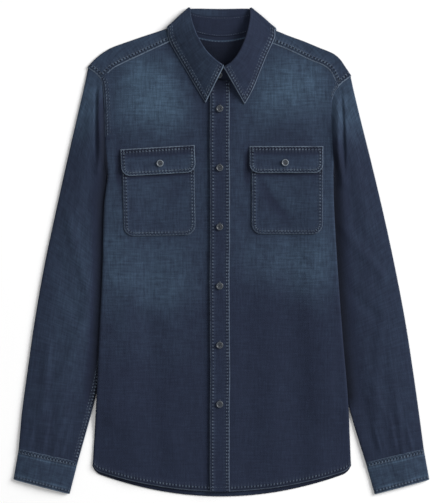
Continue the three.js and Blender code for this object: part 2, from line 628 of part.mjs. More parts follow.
function cuff(side) {
  const sign = signOf(side);
  const corners = CUFF[side];
  const ring = (t, inset) => {
    const across = (a) => {
      const outer = [0, 1].map((i) => lerp(corners.seamOuter[i], corners.endOuter[i], t));
      const inner = [0, 1].map((i) => lerp(corners.seamInner[i], corners.endInner[i], t));
      const width = Math.hypot(outer[0] - inner[0], outer[1] - inner[1]);
      const share = lerp(inset / width, 1 - inset / width, a);
      return { x: sign * lerp(outer[0], inner[0], share), y: lerp(outer[1], inner[1], share) };
    };
    const { flat, ramp, top } = CUFF_ON_BUTTON;
    const low = (x, y) => {
      const away = Math.hypot(sign * x - corners.button[0], y - corners.button[1]);
      return (BUTTON.height + SEAM) * (1 - smoothstep(away, flat, flat + ramp));
    };
    const high = (x, y, a) => lerp(SLEEVE_EDGE, CUFF_HEIGHT, Math.sin(Math.PI * a)) + top * low(x, y);
    return tubeRing(across, low, high, inset);
  };
  return shell(
    steps(4).map((t) => ring(t, 0)),
    steps(4).map((t) => ring(t, BAND)),
    true,
  );
}

// A patch in its own directions: u across and v up, from its centre, turned by its tilt.
function patchPlace(patch, u, v) {
  const turn = degToRad(patch.tilt);
  return {
    x: patch.x + u * Math.cos(turn) - v * Math.sin(turn),
    y: patch.y + u * Math.sin(turn) + v * Math.cos(turn),
  };
}

// Plan of a patch with two round lower corners.
function patchPlan(patch, rows, columns) {
  return steps(rows).map((t) =>
    closerAtEnds(columns).map((s) => {
      const u = (s - 0.5) * patch.width;
      const past = clamp((Math.abs(u) - patch.width / 2 + patch.corner) / patch.corner, 0, 1);
      const lift = patch.corner * (1 - Math.sqrt(1 - past * past));
      return patchPlace(patch, u, lerp(-patch.height / 2 + lift, patch.height / 2, t));
    }),
  );
}

const pocket = (side) => slab(patchPlan(POCKET[side], 6, 10), (x, y) => frontSurface(x, y) + REST, CLOTH);

function flap(side) {
  const patch = FLAP[side];
  const turn = degToRad(patch.tilt);
  const underside = (x, y) => {
    const up = (y - patch.y) * Math.cos(turn) - (x - patch.x) * Math.sin(turn);
    const overPocket = 1 - smoothstep(up, patch.height / 2 - FLAP_SEWN, patch.height / 2 - FLAP_SEWN / 3);
    return frontSurface(x, y) + REST + (CLOTH + REST) * overPocket;
  };
  return slab(patchPlan(patch, 6, 10), underside, CLOTH);
}

function placket() {
  const plan = steps(26).map((v) =>
    steps(3).map((s) => {
      const x = lerp(PLACKET_FREE, PLACKET_CREASE, s);
      return { x, y: lerp(hemAt(x, "right", FRONT_HEM - 0.4, HEM_RISE_FRONT), NECK_DROP - 1.5, v) };
    }),
  );
  return slab(plan, (x, y) => leftFrontUnderside(Math.max(x, PLACKET_BASE), y) + CLOTH + REST, CLOTH);
}

// Collar stations as points on the collar's middle surface, with the direction its layers stack in.
function collarStation(row, side, turnDegrees, heights) {
  const sign = signOf(side);
  const fold = point(sign * row.foldX, row.foldY, heights.fold);
  const neck = point(sign * row.neckX, row.neckY, heights.neck);
  const edge = point(sign * (row.edgeX ?? 0), row.edgeY ?? 0, heights.edge);
  const fall = edge.clone().sub(fold).setZ(0).normalize();
  const outward = point(sign * Math.abs(fall.y), Math.abs(fall.x), 0);
  const turn = degToRad(turnDegrees);
  const stack = outward.multiplyScalar(Math.sin(turn)).add(point(0, 0, Math.cos(turn)));
  const { stand = STAND_OFFSET, leaf = LEAF_OFFSET, lip = LIP } = row;
  return { fold, neck, edge, stack, stand, leaf, lip };
}

// Point of the front neck seam at so many degrees from its lowest point, drawn in by the stand's own gap.
function frontNeckAt(side, degrees) {
  const neck = YOKE_SEAM[side][0];
  const turn = degToRad(degrees);
  return {
    neckX: (neck.x - NECK_GAP) * Math.sin(turn),
    neckY: neck.y - (neck.y - NECK_DROP - NECK_GAP) * Math.cos(turn),
  };
}

function frontStations(side) {
  const underside = frontUnderside(side);
  return COLLAR[side].map((row) => {
    const seam = frontNeckAt(side, row.neck);
    const edgeX = signOf(side) * row.edgeX;
    return collarStation({ ...row, ...seam }, side, 0, {
      fold: row.foldZ,
      neck: underside(signOf(side) * seam.neckX, seam.neckY) + CLOTH / 2 - row.stand + SEAM,
      edge: frontSurface(edgeX, row.edgeY) + REST + BAND / 2 - row.leaf,
    });
  });
}

// The whole collar, from the right front corner round the back to the left front corner.
function collarStations() {
  const flat = { fold: CORE_FLAT, neck: CORE_FLAT, edge: CORE_FLAT };
  const crease = (side) => CREASE_TURNS.map((turn) => collarStation(CREASE[side], side, turn, flat));
  const back = (side) =>
    COLLAR_BACK.map((row) => {
      const neckY = backNeckAt(row.neckX) + NECK_GAP;
      return collarStation({ ...row, neckY }, side, 180, flat);
    });
  return [
    ...frontStations("right"),
    ...crease("right"),
    ...back("right"),
    ...back("left").slice(0, -1).reverse(),
    ...crease("left").reverse(),
    ...frontStations("left").reverse(),
  ];
}

function collarLeaf() {
  const surface = collarStations().map((station) => {
    const { fold, neck, edge, stack, stand, leaf } = station;
    const down = neck.clone().sub(fold).normalize();
    const out = edge.clone().sub(fold).normalize();
    const back = down.clone().add(out).normalize();
    const radius = (leaf - stand) / 2;
    const lip = [1, 0.4].map((share) =>
      fold.clone().addScaledVector(down, station.lip * share).addScaledVector(stack, stand),
    );
    const roll = [0, 45, 90, 135, 180].map((degrees) => {
      const angle = degToRad(degrees);
      return fold
        .clone()
        .addScaledVector(stack, (stand + leaf) / 2 - radius * Math.cos(angle))
        .addScaledVector(back, -radius * Math.sin(angle));
    });
    const fall = [0.2, 0.45, 0.72, 1].map((share) =>
      fold
        .clone()
        .lerp(edge, share)
        .addScaledVector(stack, leaf + 1.6 * Math.max(stack.z, 0) * Math.sin(Math.PI * share)),
    );
    return [...lip, ...roll, ...fall];
  });
  return wall(surface, BAND);
}

// Free end of the stand, past the middle of the throat.
function standEnd(side) {
  const row = STAND_END[side];
  const seam = frontNeckAt(side, row.neck);
  const overlap = side === "right" ? LAYER : 0;
  const surface = leftFrontUnderside(signOf(side) * seam.neckX, seam.neckY) - overlap;
  const neck = surface + CLOTH / 2 + SEAM - row.stand;
  return collarStation({ ...row, ...seam }, side, 0, { fold: row.foldZ, neck, edge: 0 });
}

function collarStand() {
  const stations = [standEnd("right"), ...collarStations(), standEnd("left")];
  const surface = stations.map((station) => {
    const { fold, neck, stack, stand } = station;
    const rise = fold.clone().sub(neck);
    const lip = (station.lip + 2 * SEAM) / rise.length();
    return [0, 0.25, 0.5, 0.75, 1].map((share) =>
      neck
        .clone()
        .addScaledVector(rise, lerp(0, 1 - lip, share))
        .addScaledVector(stack, stand),
    );
  });
  return wall(surface, BAND);
}

// Dished button: half profile from the middle of the underside to the middle of the dish.
function buttonGeometry() {
  const { radius, height, rim, dish } = BUTTON;
  const profile = [
    [0, 0],
    [radius - 0.7, 0],
    [radius, 0.8],
    [radius, height - 0.4],
    [radius - rim / 2, height],
    [radius - rim, height - dish],
    [0, height - dish],
  ].map(([r, z]) => new THREE.Vector2(r, z));
  const turned = new THREE.LatheGeometry(profile, 12);
  turned.rotateX(Math.PI / 2);
  return turned;
}

const shirt = new THREE.Group();

function add(name, geometry, look) {
  const mesh = new THREE.Mesh(geometry, new THREE.MeshStandardMaterial(look));
  mesh.name = name;
  shirt.add(mesh);
  return mesh;
}

// A button laid on the surface given by height, at a place of the plan.
function addButton(name, x, y, height) {
  add(name, buttonGeometry(), BUTTON_RESIN).position.set(x, y, height);
}

// The collar button leans with the stand, on the outside of its left end.
function addCollarButton() {
  const { across, up } = COLLAR_BUTTON;
  const [from, to] = [standEnd("left"), collarStations().at(-1)];
  const neck = from.neck.clone().lerp(to.neck, across);
  const fold = from.fold.clone().lerp(to.fold, across);
  const lean = Math.atan2(fold.z - neck.z, fold.y - neck.y);
  const seat = neck.lerp(fold, up).addScaledVector(from.stack, lerp(from.stand, to.stand, across));
  const lift = BAND / 2 + SEAM;
  const mesh = add("collar_button", buttonGeometry(), BUTTON_RESIN);
  mesh.position.copy(seat).add(point(0, -lift * Math.sin(lean), lift * Math.cos(lean)));
  mesh.rotation.x = lean;
}

add("back", backPanel(), DENIM);
add("yoke", yoke(), DENIM);
for (const side of ["right", "left"]) {
  add(`front_${side}`, frontPanel(side), DENIM_FADED);
  add(`sleeve_${side}`, sleeve(side), DENIM_FADED);
  add(`cuff_${side}`, cuff(side), DENIM);
  add(`pocket_${side}`, pocket(side), DENIM_FADED);
  add(`pocket_flap_${side}`, flap(side), DENIM);
  const [buttonX, buttonY] = FLAP[side].button;
  const onFlap = frontSurface(buttonX, buttonY) + 2 * (CLOTH + REST) + SEAM;
  addButton(`flap_button_${side}`, buttonX, buttonY, onFlap);
  const [cuffX, cuffY] = CUFF[side].button;
  addButton(`cuff_button_${side}`, signOf(side) * cuffX, cuffY, 0);
}
add("placket", placket(), DENIM);
add("collar_stand", collarStand(), DENIM);
add("collar_leaf", collarLeaf(), DENIM);
for (let i = 0; i < 6; i += 1) {
  const y = FIRST_BUTTON - i * BUTTON_PITCH;
  const onPlacket = leftFrontUnderside(BUTTON_X, y) + 2 * CLOTH + REST + SEAM;
  addButton(`front_button_${i + 1}`, BUTTON_X, y, onPlacket);
}
addCollarButton();

export default shirt;
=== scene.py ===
"""Denim shirt laid flat on a pale floor, seen from straight above.

Lengths are millimetres until a mesh is made, which stores metres. The wearer's right is at -X.
"""

from __future__ import annotations

import json
import logging
import math
from dataclasses import dataclass, field
from enum import Enum
from typing import Callable, ClassVar, Sequence

import bpy
import numpy as np
from numpy.typing import NDArray
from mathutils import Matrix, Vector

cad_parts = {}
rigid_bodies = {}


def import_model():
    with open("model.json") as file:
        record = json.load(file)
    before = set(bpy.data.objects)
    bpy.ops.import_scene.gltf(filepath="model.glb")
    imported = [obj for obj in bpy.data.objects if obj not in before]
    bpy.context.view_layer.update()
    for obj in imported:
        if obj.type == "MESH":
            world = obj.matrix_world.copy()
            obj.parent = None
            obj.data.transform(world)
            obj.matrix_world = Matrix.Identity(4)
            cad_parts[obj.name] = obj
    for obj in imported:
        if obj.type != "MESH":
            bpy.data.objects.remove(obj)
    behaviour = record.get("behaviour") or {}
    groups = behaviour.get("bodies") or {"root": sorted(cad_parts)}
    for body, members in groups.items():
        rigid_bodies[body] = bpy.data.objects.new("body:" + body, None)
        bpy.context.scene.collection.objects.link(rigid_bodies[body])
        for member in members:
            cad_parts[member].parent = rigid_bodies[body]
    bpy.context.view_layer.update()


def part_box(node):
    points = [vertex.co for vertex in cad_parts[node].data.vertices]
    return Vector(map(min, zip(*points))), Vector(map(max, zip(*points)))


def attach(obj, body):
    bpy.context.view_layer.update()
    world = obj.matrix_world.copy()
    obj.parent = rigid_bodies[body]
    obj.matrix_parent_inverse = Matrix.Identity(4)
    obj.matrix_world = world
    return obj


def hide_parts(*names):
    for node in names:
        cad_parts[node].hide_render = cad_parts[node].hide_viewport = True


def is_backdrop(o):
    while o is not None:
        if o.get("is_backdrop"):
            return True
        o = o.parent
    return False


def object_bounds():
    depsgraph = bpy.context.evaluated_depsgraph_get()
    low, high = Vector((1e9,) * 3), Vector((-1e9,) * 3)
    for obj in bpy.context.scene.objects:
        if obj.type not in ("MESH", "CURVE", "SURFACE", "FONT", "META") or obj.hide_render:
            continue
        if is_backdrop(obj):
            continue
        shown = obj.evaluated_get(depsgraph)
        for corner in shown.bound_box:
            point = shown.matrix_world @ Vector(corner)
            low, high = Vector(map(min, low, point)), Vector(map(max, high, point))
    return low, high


Array = NDArray[np.float64]
Plan = Callable[[Array, Array], Array]

MM = 0.001
UV_UNIT = 100.0  # cloth in one unit of the UV map
STITCH_PITCH = 5.4
PUCKER_ROW = 5.0  # distance from a sewn edge at which the finish draws its row
FAR = 60.0  # stands for no sewn edge near
UP = np.array([0.0, 0.0, 1.0])

# Sizes that several pieces share
ARMPIT = 131.0  # height of the armhole's lower end
NECK_POINT = 68.0  # half width of the neck where the shoulders meet the stand
NECK_DROP = 283.0  # lowest point of the front neck seam
BACK_NECK = 354.0  # lowest point of the back neck seam
BACK_NECK_RISE = 18.0  # its rise from there to the neck point
BACK_YOKE_SEAM = 245.0  # height of the seam between back and yoke
HEM_REACH = 195.0  # distance from the middle over which a hem rises
HEM_CORNER = 14.0  # radius where hem and side seam meet
FRONT_HEM_RISE = 30.0
CUFF_LENGTH = 52.0
CUFF_LAP = 0.03  # share of its length by which a cuff laps over the sleeve
BUTTON_X = -2.6
BUTTON_TOP = 235.6  # height of the uppermost front button
BUTTON_PITCH = 97.5

LOG = logging.getLogger("shirt")


class Side(Enum):
    """The wearer's side; the value is the sign of x there."""

    RIGHT = -1
    LEFT = 1

    @property
    def word(self) -> str:
        """Name of the side in piece names."""
        return self.name.lower()


class Edge(Enum):
    """An edge of a grid: whether it is a row, and whether it is the last one."""

    FIRST_ROW = (True, False)
    LAST_ROW = (True, True)
    FIRST_COLUMN = (False, False)
    LAST_COLUMN = (False, True)


def smooth(value: Array, low: float, high: float) -> Array:
    """Smooth step from 0 at low to 1 at high: t * t * (3 - 2 t)."""
    t = np.clip((np.asarray(value, float) - low) / (high - low), 0.0, 1.0)
    return t * t * (3.0 - 2.0 * t)


def mix(a: Array, b: Array, t: Array) -> Array:
    """Straight blend from a to b."""
    return a + (b - a) * t


def unit(vectors: Array) -> Array:
    """Vectors scaled to length 1."""
    return vectors / np.maximum(np.linalg.norm(vectors, axis=-1, keepdims=True), 1e-9)


def stacked(x: Array, y: Array, z: Array) -> Array:
    """Points from three arrays that broadcast together."""
    return np.stack(np.broadcast_arrays(x, y, z), axis=-1).astype(float)


def flat(x: Array, y: Array) -> Array:
    """Plan points."""
    return stacked(x, y, 0)[..., :2]


def upright(line: Array) -> tuple[Array, Array]:
    """A line on a face, with straight up as the face's direction at every point."""
    return line, np.tile(UP, (len(line), 1))


def travelled(line: Array) -> Array:
    """Distance along a line from its first point to each of its points."""
    return np.concatenate([[0.0], np.cumsum(np.linalg.norm(np.diff(line, axis=0), axis=-1))])


def reached(points: Array, axis: int) -> Array:
    """Distance from the start of each line of a grid, along the lines of one axis."""
    first = points.take([0], axis=axis)
    steps = np.linalg.norm(np.diff(points, axis=axis, prepend=first), axis=-1)
    return np.cumsum(steps, axis=axis)


def to_last_column(points: Array) -> Array:
    """Distance from each point of a grid to the end of its row, along the row."""
    steps = np.linalg.norm(np.diff(points, axis=1), axis=-1)
    reach = np.cumsum(steps[:, ::-1], axis=1)[:, ::-1]
    return np.concatenate([reach, np.zeros((len(points), 1))], axis=1)


@dataclass(frozen=True)
class Column:
    """Values at given places, joined by a cubic through every one of them."""

    at: tuple[float, ...]
    value: tuple[float, ...]

    def __call__(self, place: Array) -> Array:
        """Hermite cubic whose slopes are taken across both neighbours; it is held beyond the ends.

        Args:
            place: Where the value is wanted.

        Returns:
            The value at each place.
        """
        at, value = np.asarray(self.at), np.asarray(self.value)
        index = np.arange(at.size)
        before, after = np.maximum(index - 1, 0), np.minimum(index + 1, at.size - 1)
        slope = (value[after] - value[before]) / (at[after] - at[before])
        place = np.asarray(place, float)
        k = np.clip(np.searchsorted(at, place, side="right") - 1, 0, at.size - 2)
        span = at[k + 1] - at[k]
        t = np.clip((place - at[k]) / span, 0.0, 1.0)
        bend = t * (1 - t) * (slope[k] * (1 - t) - slope[k + 1] * t) * span
        return mix(value[k], value[k + 1], t * t * (3 - 2 * t)) + bend


@dataclass(frozen=True)
class Fold:
    """A soft ridge or trough along a line: rise * exp(-(distance / half) ** 2)."""

    x1: float
    y1: float
    x2: float
    y2: float
    rise: float
    half: float

    def __call__(self, x: Array, y: Array) -> Array:
        """Height that the fold adds at places of the plan."""
        dx, dy = self.x2 - self.x1, self.y2 - self.y1
        share = np.clip(((x - self.x1) * dx + (y - self.y1) * dy) / (dx * dx + dy * dy), 0, 1)
        away = np.hypot(x - self.x1 - share * dx, y - self.y1 - share * dy)
        return self.rise * np.exp(-((away / self.half) ** 2))


@dataclass(frozen=True)
class Crease:
    """A crease, steeper on one side, that bends a little and dies out at both ends."""

    x1: float
    y1: float
    x2: float
    y2: float
    rise: float
    half: float
    bend: float = 0.0

    def __call__(self, x: Array, y: Array) -> Array:
        """Height that the crease adds.

        Across it, exp(-(d / half) ** 2) on its steep side and twice as wide on the other; along it,
        sin(pi s) ** 0.8; its middle is moved sideways by bend.
        """
        dx, dy = self.x2 - self.x1, self.y2 - self.y1
        length = math.hypot(dx, dy)
        share = ((x - self.x1) * dx + (y - self.y1) * dy) / length**2
        inside = np.clip(share, 0, 1)
        d = ((y - self.y1) * dx - (x - self.x1) * dy) / length - self.bend * np.sin(math.pi * inside)
        width = np.where(d > 0, self.half, 2.0 * self.half)
        return self.rise * np.exp(-((d / width) ** 2)) * np.sin(math.pi * inside) ** 0.8


@dataclass(frozen=True)
class Unevenness:
    """Small random waves of laid cloth: a sum of sines of seeded direction, length and phase."""

    seed: int
    height: float = 0.12
    shortest: float = 16.0
    longest: float = 70.0
    count: int = 22

    def __call__(self, x: Array, y: Array) -> Array:
        """Height of the waves at places of the plan."""
        rng = np.random.default_rng(self.seed)
        total = np.zeros(np.broadcast(x, y).shape)
        for _ in range(self.count):
            turn, phase = rng.uniform(0, 2 * math.pi, 2)
            wave = 2 * math.pi / rng.uniform(self.shortest, self.longest)
            total += np.sin(wave * (x * math.cos(turn) + y * math.sin(turn)) + phase)
        return total * self.height / math.sqrt(self.count)


# Cut lines of the body, as distances from the middle line


@dataclass(frozen=True)
class Outline:
    """One half of the body: its edge over the height, its shoulder line and its yoke seam over x."""

    edge: Column
    shoulder: Column
    seam: Column
    armhole_top: float

    @property
    def neck(self) -> tuple[float, float]:
        """Neck end of the yoke seam."""
        return self.seam.at[0], self.seam.value[0]

    @property
    def seam_end(self) -> tuple[float, float]:
        """Armhole end of the yoke seam."""
        return self.seam.at[-1], self.seam.value[-1]

    def armhole(self, share: Array) -> Array:
        """Height of the armhole at a share from the shoulder point to the armpit."""
        return mix(self.armhole_top, ARMPIT, share)


OUTLINES = {
    Side.RIGHT: Outline(
        edge=Column(
            (-365, -248, -148, -30, 75, 131, 180, 235, 272, 284, 296, 303.6),
            (213.2, 206, 201.3, 195.8, 193, 187, 190.6, 191.8, 194.4, 197.7, 209.4, 219.9),
        ),
        shoulder=Column(
            (68, 88.8, 125.9, 153.9, 180.3, 196.8, 208.4, 219.9),
            (374.3, 367.9, 355.6, 345.7, 335.8, 325.9, 316, 303.6),
        ),
        seam=Column((66.5, 120, 161, 180, 198.2), (356.4, 331.8, 312.8, 302.3, 284.96)),
        armhole_top=303.6,
    ),
    Side.LEFT: Outline(
        edge=Column(
            (-365, -248, -148, -30, 75, 131, 180, 225, 253, 266, 277, 289.6),
            (214.6, 209, 200.6, 191.8, 185.8, 184.6, 183.2, 180.8, 182.7, 187.8, 197.6, 213.5),
        ),
        shoulder=Column(
            (68, 87, 111.7, 138.1, 161.2, 184.3, 195.9, 202.5, 213.5),
            (372.6, 365.6, 355.6, 345.7, 335.8, 325.9, 316, 306.1, 289.6),
        ),
        seam=Column((65.5, 104.4, 148.7, 172, 183, 193.2), (351.4, 337, 316.5, 306.5, 295, 272.47)),
        armhole_top=289.6,
    ),
}


@dataclass(frozen=True)
class Layers:
    """Heights of the laid layers above the floor, with the sizes that they come from."""

    cloth: float = 1.2
    band: float = 1.6
    gap: float = 0.3
    rest: float = 0.5
    loft_at_seam: float = 0.4
    loft: float = 1.7
    on_sleeve: float = 5.0
    sleeve_flat: float = 21.0
    sleeve_ramp: float = 64.0
    beside_top: tuple[float, float] = (118.0, 168.0)
    beside_foot: tuple[float, float] = (-312.0, -250.0)
    underlap: float = 14.0
    placket_base: float = -17.3
    leaf_edge: float = 345.0
    leaf_edge_rise: float = 23.0
    crease_x: float = 87.6
    folds: tuple[Fold, ...] = (
        Fold(-158, -60, -140, -372, 1.3, 24),
        Fold(-84, -60, -70, -384, 1.0, 24),
        Fold(76, -40, 92, -384, 1.2, 24),
        Fold(152, -50, 162, -368, 1.1, 22),
        Fold(-112, -130, -102, -372, -0.6, 20),
        Fold(122, -120, 128, -376, -0.6, 20),
        Fold(-104, 318, -96, 226, 0.8, 20),
        Fold(112, 314, 102, 222, 0.8, 20),
    )

    def edge(self, x: Array, y: Array) -> Array:
        """Half width of the body on the side of x."""
        right, left = (OUTLINES[side].edge(y) for side in Side)
        return np.where(x < 0, right, left)

    def shoulder(self, x: Array) -> Array:
        """Height of the shoulder line at x."""
        right, left = (OUTLINES[side].shoulder(np.abs(x)) for side in Side)
        return np.where(x < 0, right, left)

    def bottom(self, x: Array, y: Array) -> Array:
        """Underside of the back, which rises over the sleeves and, behind the neck, over the leaf."""
        from_edge = self.edge(x, y) - np.abs(x)
        beside = (1 - smooth(y, *self.beside_top)) * smooth(y, *self.beside_foot)
        ramp = 1 - smooth(from_edge, self.sleeve_flat, self.sleeve_flat + self.sleeve_ramp)
        leaf = self.leaf_edge + self.leaf_edge_rise * (x / self.crease_x) ** 2
        over_leaf = (self.band + self.gap) * smooth(y - leaf, -24, -6)
        return self.on_sleeve * beside * ramp + over_leaf

    def top(self, x: Array, y: Array) -> Array:
        """Underside of the fronts: the back's upper face, air, and the soft folds."""
        from_edge = self.edge(x, y) - np.abs(x)
        open_ = smooth(from_edge, 0, 60) * (1 - smooth(y - self.shoulder(x), -70, -8))
        folds = sum(fold(x, y) for fold in self.folds)
        base = self.bottom(x, y) + self.cloth + self.gap + self.loft_at_seam
        return base + (self.loft + folds) * open_

    def left_front(self, x: Array, y: Array) -> Array:
        """Underside of the left front, which lies on the right one along the middle."""
        over = 1 - smooth(x, self.underlap + 2, self.underlap + 32)
        return self.top(x, y) + (self.cloth + self.gap) * over

    def front_under(self, side: Side) -> Plan:
        """Underside of one front."""
        return self.top if side is Side.RIGHT else self.left_front

    def front_face(self, x: Array, y: Array) -> Array:
        """Upper face of the fronts."""
        return np.where(x < self.placket_base, self.top(x, y), self.left_front(x, y)) + self.cloth


LAY = Layers()


def hem_at(x: Array, reach: Array, lowest: float, rise: float) -> Array:
    """Height of a curved hem, lowest + rise * (x / HEM_REACH) ** 2, round at the side seam."""
    past = np.clip((np.abs(x) - reach + HEM_CORNER) / HEM_CORNER, 0, 1)
    return lowest + rise * (x / HEM_REACH) ** 2 + HEM_CORNER * (1 - np.sqrt(1 - past * past))


# Wash and painted shade


@dataclass(frozen=True)
class Wash:
    """How far the indigo has faded, 0 dark to 1 pale: a level and soft oval patches.

    A patch is x, y, its half sizes along x and y, and the amount that it adds; a negative amount paints
    shade.
    """

    level: float
    patches: tuple[tuple[float, float, float, float, float], ...] = ()

    def __call__(self, x: Array, y: Array) -> Array:
        """Fade at places of the plan, with painted shade where it falls below 0."""
        total = np.full(np.broadcast(x, y).shape, self.level)
        for px, py, half_x, half_y, amount in self.patches:
            away = np.abs((x - px) / half_x) ** 2.6 + np.abs((y - py) / half_y) ** 2.6
            total = total + amount * np.exp(-away)
        return total


BODY_WASH_AND_SHADE = Wash(
    0.0,
    (
        (-122, 268, 58, 64, 0.87),
        (-84, 232, 42, 40, 0.22),
        (121, 276, 62, 56, 0.78),
        (56, 240, 34, 46, 0.2),
        (-2, 104, 190, 112, 0.2),
        (-180, 30, 24, 120, 0.3),
        (172, 86, 28, 146, 0.21),
        (-116, -28, 84, 52, 0.4),
        (-92, -70, 46, 32, 0.2),
        (104, -14, 74, 46, 0.33),
        (146, -34, 38, 54, 0.25),
        (-118, -130, 100, 62, 0.1),
        # Painted shadow along the left edge of each flap, on the side away from the key light
        (-168.5, 138, 5, 26, -0.5),
        (43.5, 138, 5, 26, -0.5),
    ),
)
SLEEVE_WASH = {
    Side.RIGHT: Wash(
        0.06, ((-222, 246, 46, 62, 0.5), (-236, -60, 44, 140, 0.2), (-296, -190, 60, 120, 0.06))
    ),
    Side.LEFT: Wash(
        0.03, ((210, 250, 46, 64, 0.52), (262, 10, 60, 120, 0.06), (300, -190, 60, 120, 0.06))
    ),
}


# Cloth grids and meshes


@dataclass
class Grid:
    """A cloth wall on a grid of points: its showing face, its hidden face and what its finish reads."""

    outer: Array
    inner: Array
    cut: Array
    fade: Array
    around: bool = False
    seam: Array = field(init=False)
    run: Array = field(init=False)

    def __post_init__(self) -> None:
        """Starts with no sewn edge near."""
        self.seam = np.full(self.outer.shape[:2], FAR)
        self.run = np.zeros(self.outer.shape[:2])

    def flipped(self) -> Grid:
        """The same wall with its hidden face as the showing one."""
        return Grid(self.inner, self.outer, self.cut, self.fade)

    def normals(self) -> Array:
        """Directions from the hidden face to the showing one."""
        down = np.gradient(self.outer, axis=0)
        along = np.gradient(self.outer, axis=1)
        normal = unit(np.cross(down, along))
        side = np.sign(np.sum(normal * (self.outer - self.inner), axis=-1, keepdims=True))
        return normal * np.where(side == 0, 1, side)

    def inward(self, edge: Edge, values: Array) -> Array:
        """The values with their second axis running from that edge inwards."""
        row, last = edge.value
        turned = values.swapaxes(0, 1) if row else values
        return turned[:, ::-1] if last else turned

    def depth(self, edge: Edge) -> Array:
        """Distance from an edge along the grid's own lines, as an array turned by inward."""
        points = self.inward(edge, self.outer)
        steps = np.linalg.norm(np.diff(points, axis=1), axis=-1)
        return np.concatenate([np.zeros((len(points), 1)), np.cumsum(steps, axis=1)], axis=1)

    def sew(
        self, edge: Edge, where: Array | None = None, start: float = 0.0, row: float = PUCKER_ROW
    ) -> None:
        """Marks an edge as sewn, so that its finish shows wear, puckers and painted shade there.

        Args:
            edge: The sewn edge.
            where: Which places of the edge are sewn, as booleans along it.
            start: Distance from the edge at which the sewing begins.
            row: Distance at which its row of puckers lies; the finish draws it at PUCKER_ROW.
        """
        depth = (self.depth(edge) - start) * PUCKER_ROW / row
        if where is not None:
            depth = np.where(where[:, None], depth, FAR)
        run = np.broadcast_to(travelled(self.inward(edge, self.outer)[:, 0])[:, None], depth.shape)
        row, last = edge.value
        depth, run = (a[:, ::-1] if last else a for a in (depth, run))
        depth, run = (a.swapaxes(0, 1) if row else a for a in (depth, run))
        near = np.abs(depth) < np.abs(self.seam)
        self.seam, self.run = np.where(near, depth, self.seam), np.where(near, run, self.run)

    def path(self, edge: Edge, inset: float) -> tuple[Array, Array]:
        """Line on the showing face at a distance from an edge, with the face's directions there."""
        points, normals = self.inward(edge, self.outer), self.inward(edge, self.normals())
        depth = self.depth(edge)
        k = np.clip((depth <= inset).sum(axis=1) - 1, 0, depth.shape[1] - 2)
        rows = np.arange(len(points))
        t = ((inset - depth[rows, k]) / (depth[rows, k + 1] - depth[rows, k]))[:, None]
        return (
            mix(points[rows, k], points[rows, k + 1], t),
            unit(mix(normals[rows, k], normals[rows, k + 1], t)),
        )


@dataclass
class Soup:
    """Points and four-sided faces gathered for one mesh."""

    points: list[Array] = field(default_factory=list)
    faces: list[Array] = field(default_factory=list)
    count: int = 0

    def add(self, points: Array, faces: Array) -> None:
        """Adds a part whose faces count from its own first point."""
        self.points.append(points.reshape(-1, 3))
        self.faces.append(faces.reshape(-1, 4) + self.count)
        self.count += len(self.points[-1])

    def mesh(self, name: str) -> bpy.types.Mesh:
        """The gathered faces as a smooth mesh in metres."""
        mesh = bpy.data.meshes.new(name)
        points, faces = np.concatenate(self.points) * MM, np.concatenate(self.faces)
        mesh.from_pydata(points.tolist(), [], faces.tolist())
        mesh.polygons.foreach_set("use_smooth", np.ones(len(mesh.polygons), bool))
        mesh.update()
        return mesh


def outward(points: Array, faces: Array) -> Array:
    """Faces turned round if the closed shape that they make has a negative volume."""
    a, b, c, d = (points[faces[:, k]] for k in range(4))
    volume = np.sum(a * np.cross(b, c)) + np.sum(a * np.cross(c, d))
    return faces[:, ::-1] if volume < 0 else faces


def quads(index: Array, around: bool = False) -> Array:
    """Faces between neighbouring rows and columns of an index grid."""
    turned = np.concatenate([index, index[:, :1]], axis=1) if around else index
    corners = (turned[:-1, :-1], turned[:-1, 1:], turned[1:, 1:], turned[1:, :-1])
    return np.stack(corners, axis=-1).reshape(-1, 4)


def shell(grid: Grid) -> tuple[Array, Array, Array]:
    """Closed wall of a grid with a rounded rim.

    The rim's own points stand out from the edge by 0.45 of the wall, half way through it.

    Args:
        grid: The cloth.

    Returns:
        Points, faces, and for each point the index of the grid's point whose finish values it takes.
    """
    rows, columns = grid.outer.shape[:2]
    index = np.arange(rows * columns).reshape(rows, columns)
    if grid.around:
        loops = [(index[0], index[1]), (index[-1][::-1], index[-2][::-1])]
    else:
        near = index[np.ix_(*(np.clip(np.arange(size), 1, size - 2) for size in (rows, columns)))]
        rims = ([g[0, :-1], g[:-1, -1], g[-1, :0:-1], g[:0:-1, 0]] for g in (index, near))
        loops = [tuple(np.concatenate(rim) for rim in rims)]
    outer, inner = grid.outer.reshape(-1, 3), grid.inner.reshape(-1, 3)
    points, source = [outer, inner], [index.ravel(), index.ravel()]
    faces = [quads(index, grid.around), quads(index, grid.around)[:, ::-1] + rows * columns]
    count = 2 * rows * columns
    for loop, near in loops:
        middle = (outer[loop] + inner[loop]) / 2
        wall = np.linalg.norm(outer[loop] - inner[loop], axis=-1, keepdims=True)
        points.append(middle + 0.45 * wall * unit(outer[loop] - outer[near]))
        source.append(loop)
        rim = count + np.arange(len(loop))
        for a, b in ((loop, rim), (rim, loop + rows * columns)):
            faces.append(np.stack([np.roll(a, -1), a, b, np.roll(b, -1)], axis=-1))
        count += len(loop)
    points, faces = np.concatenate(points), np.concatenate(faces)
    return points, outward(points, faces), np.concatenate(source)


def store(mesh: bpy.types.Mesh, name: str, values: Array) -> None:
    """Stores a number for each of the mesh's points."""
    data = mesh.attributes.new(name, "FLOAT", "POINT").data
    data.foreach_set("value", values.astype(np.float32))


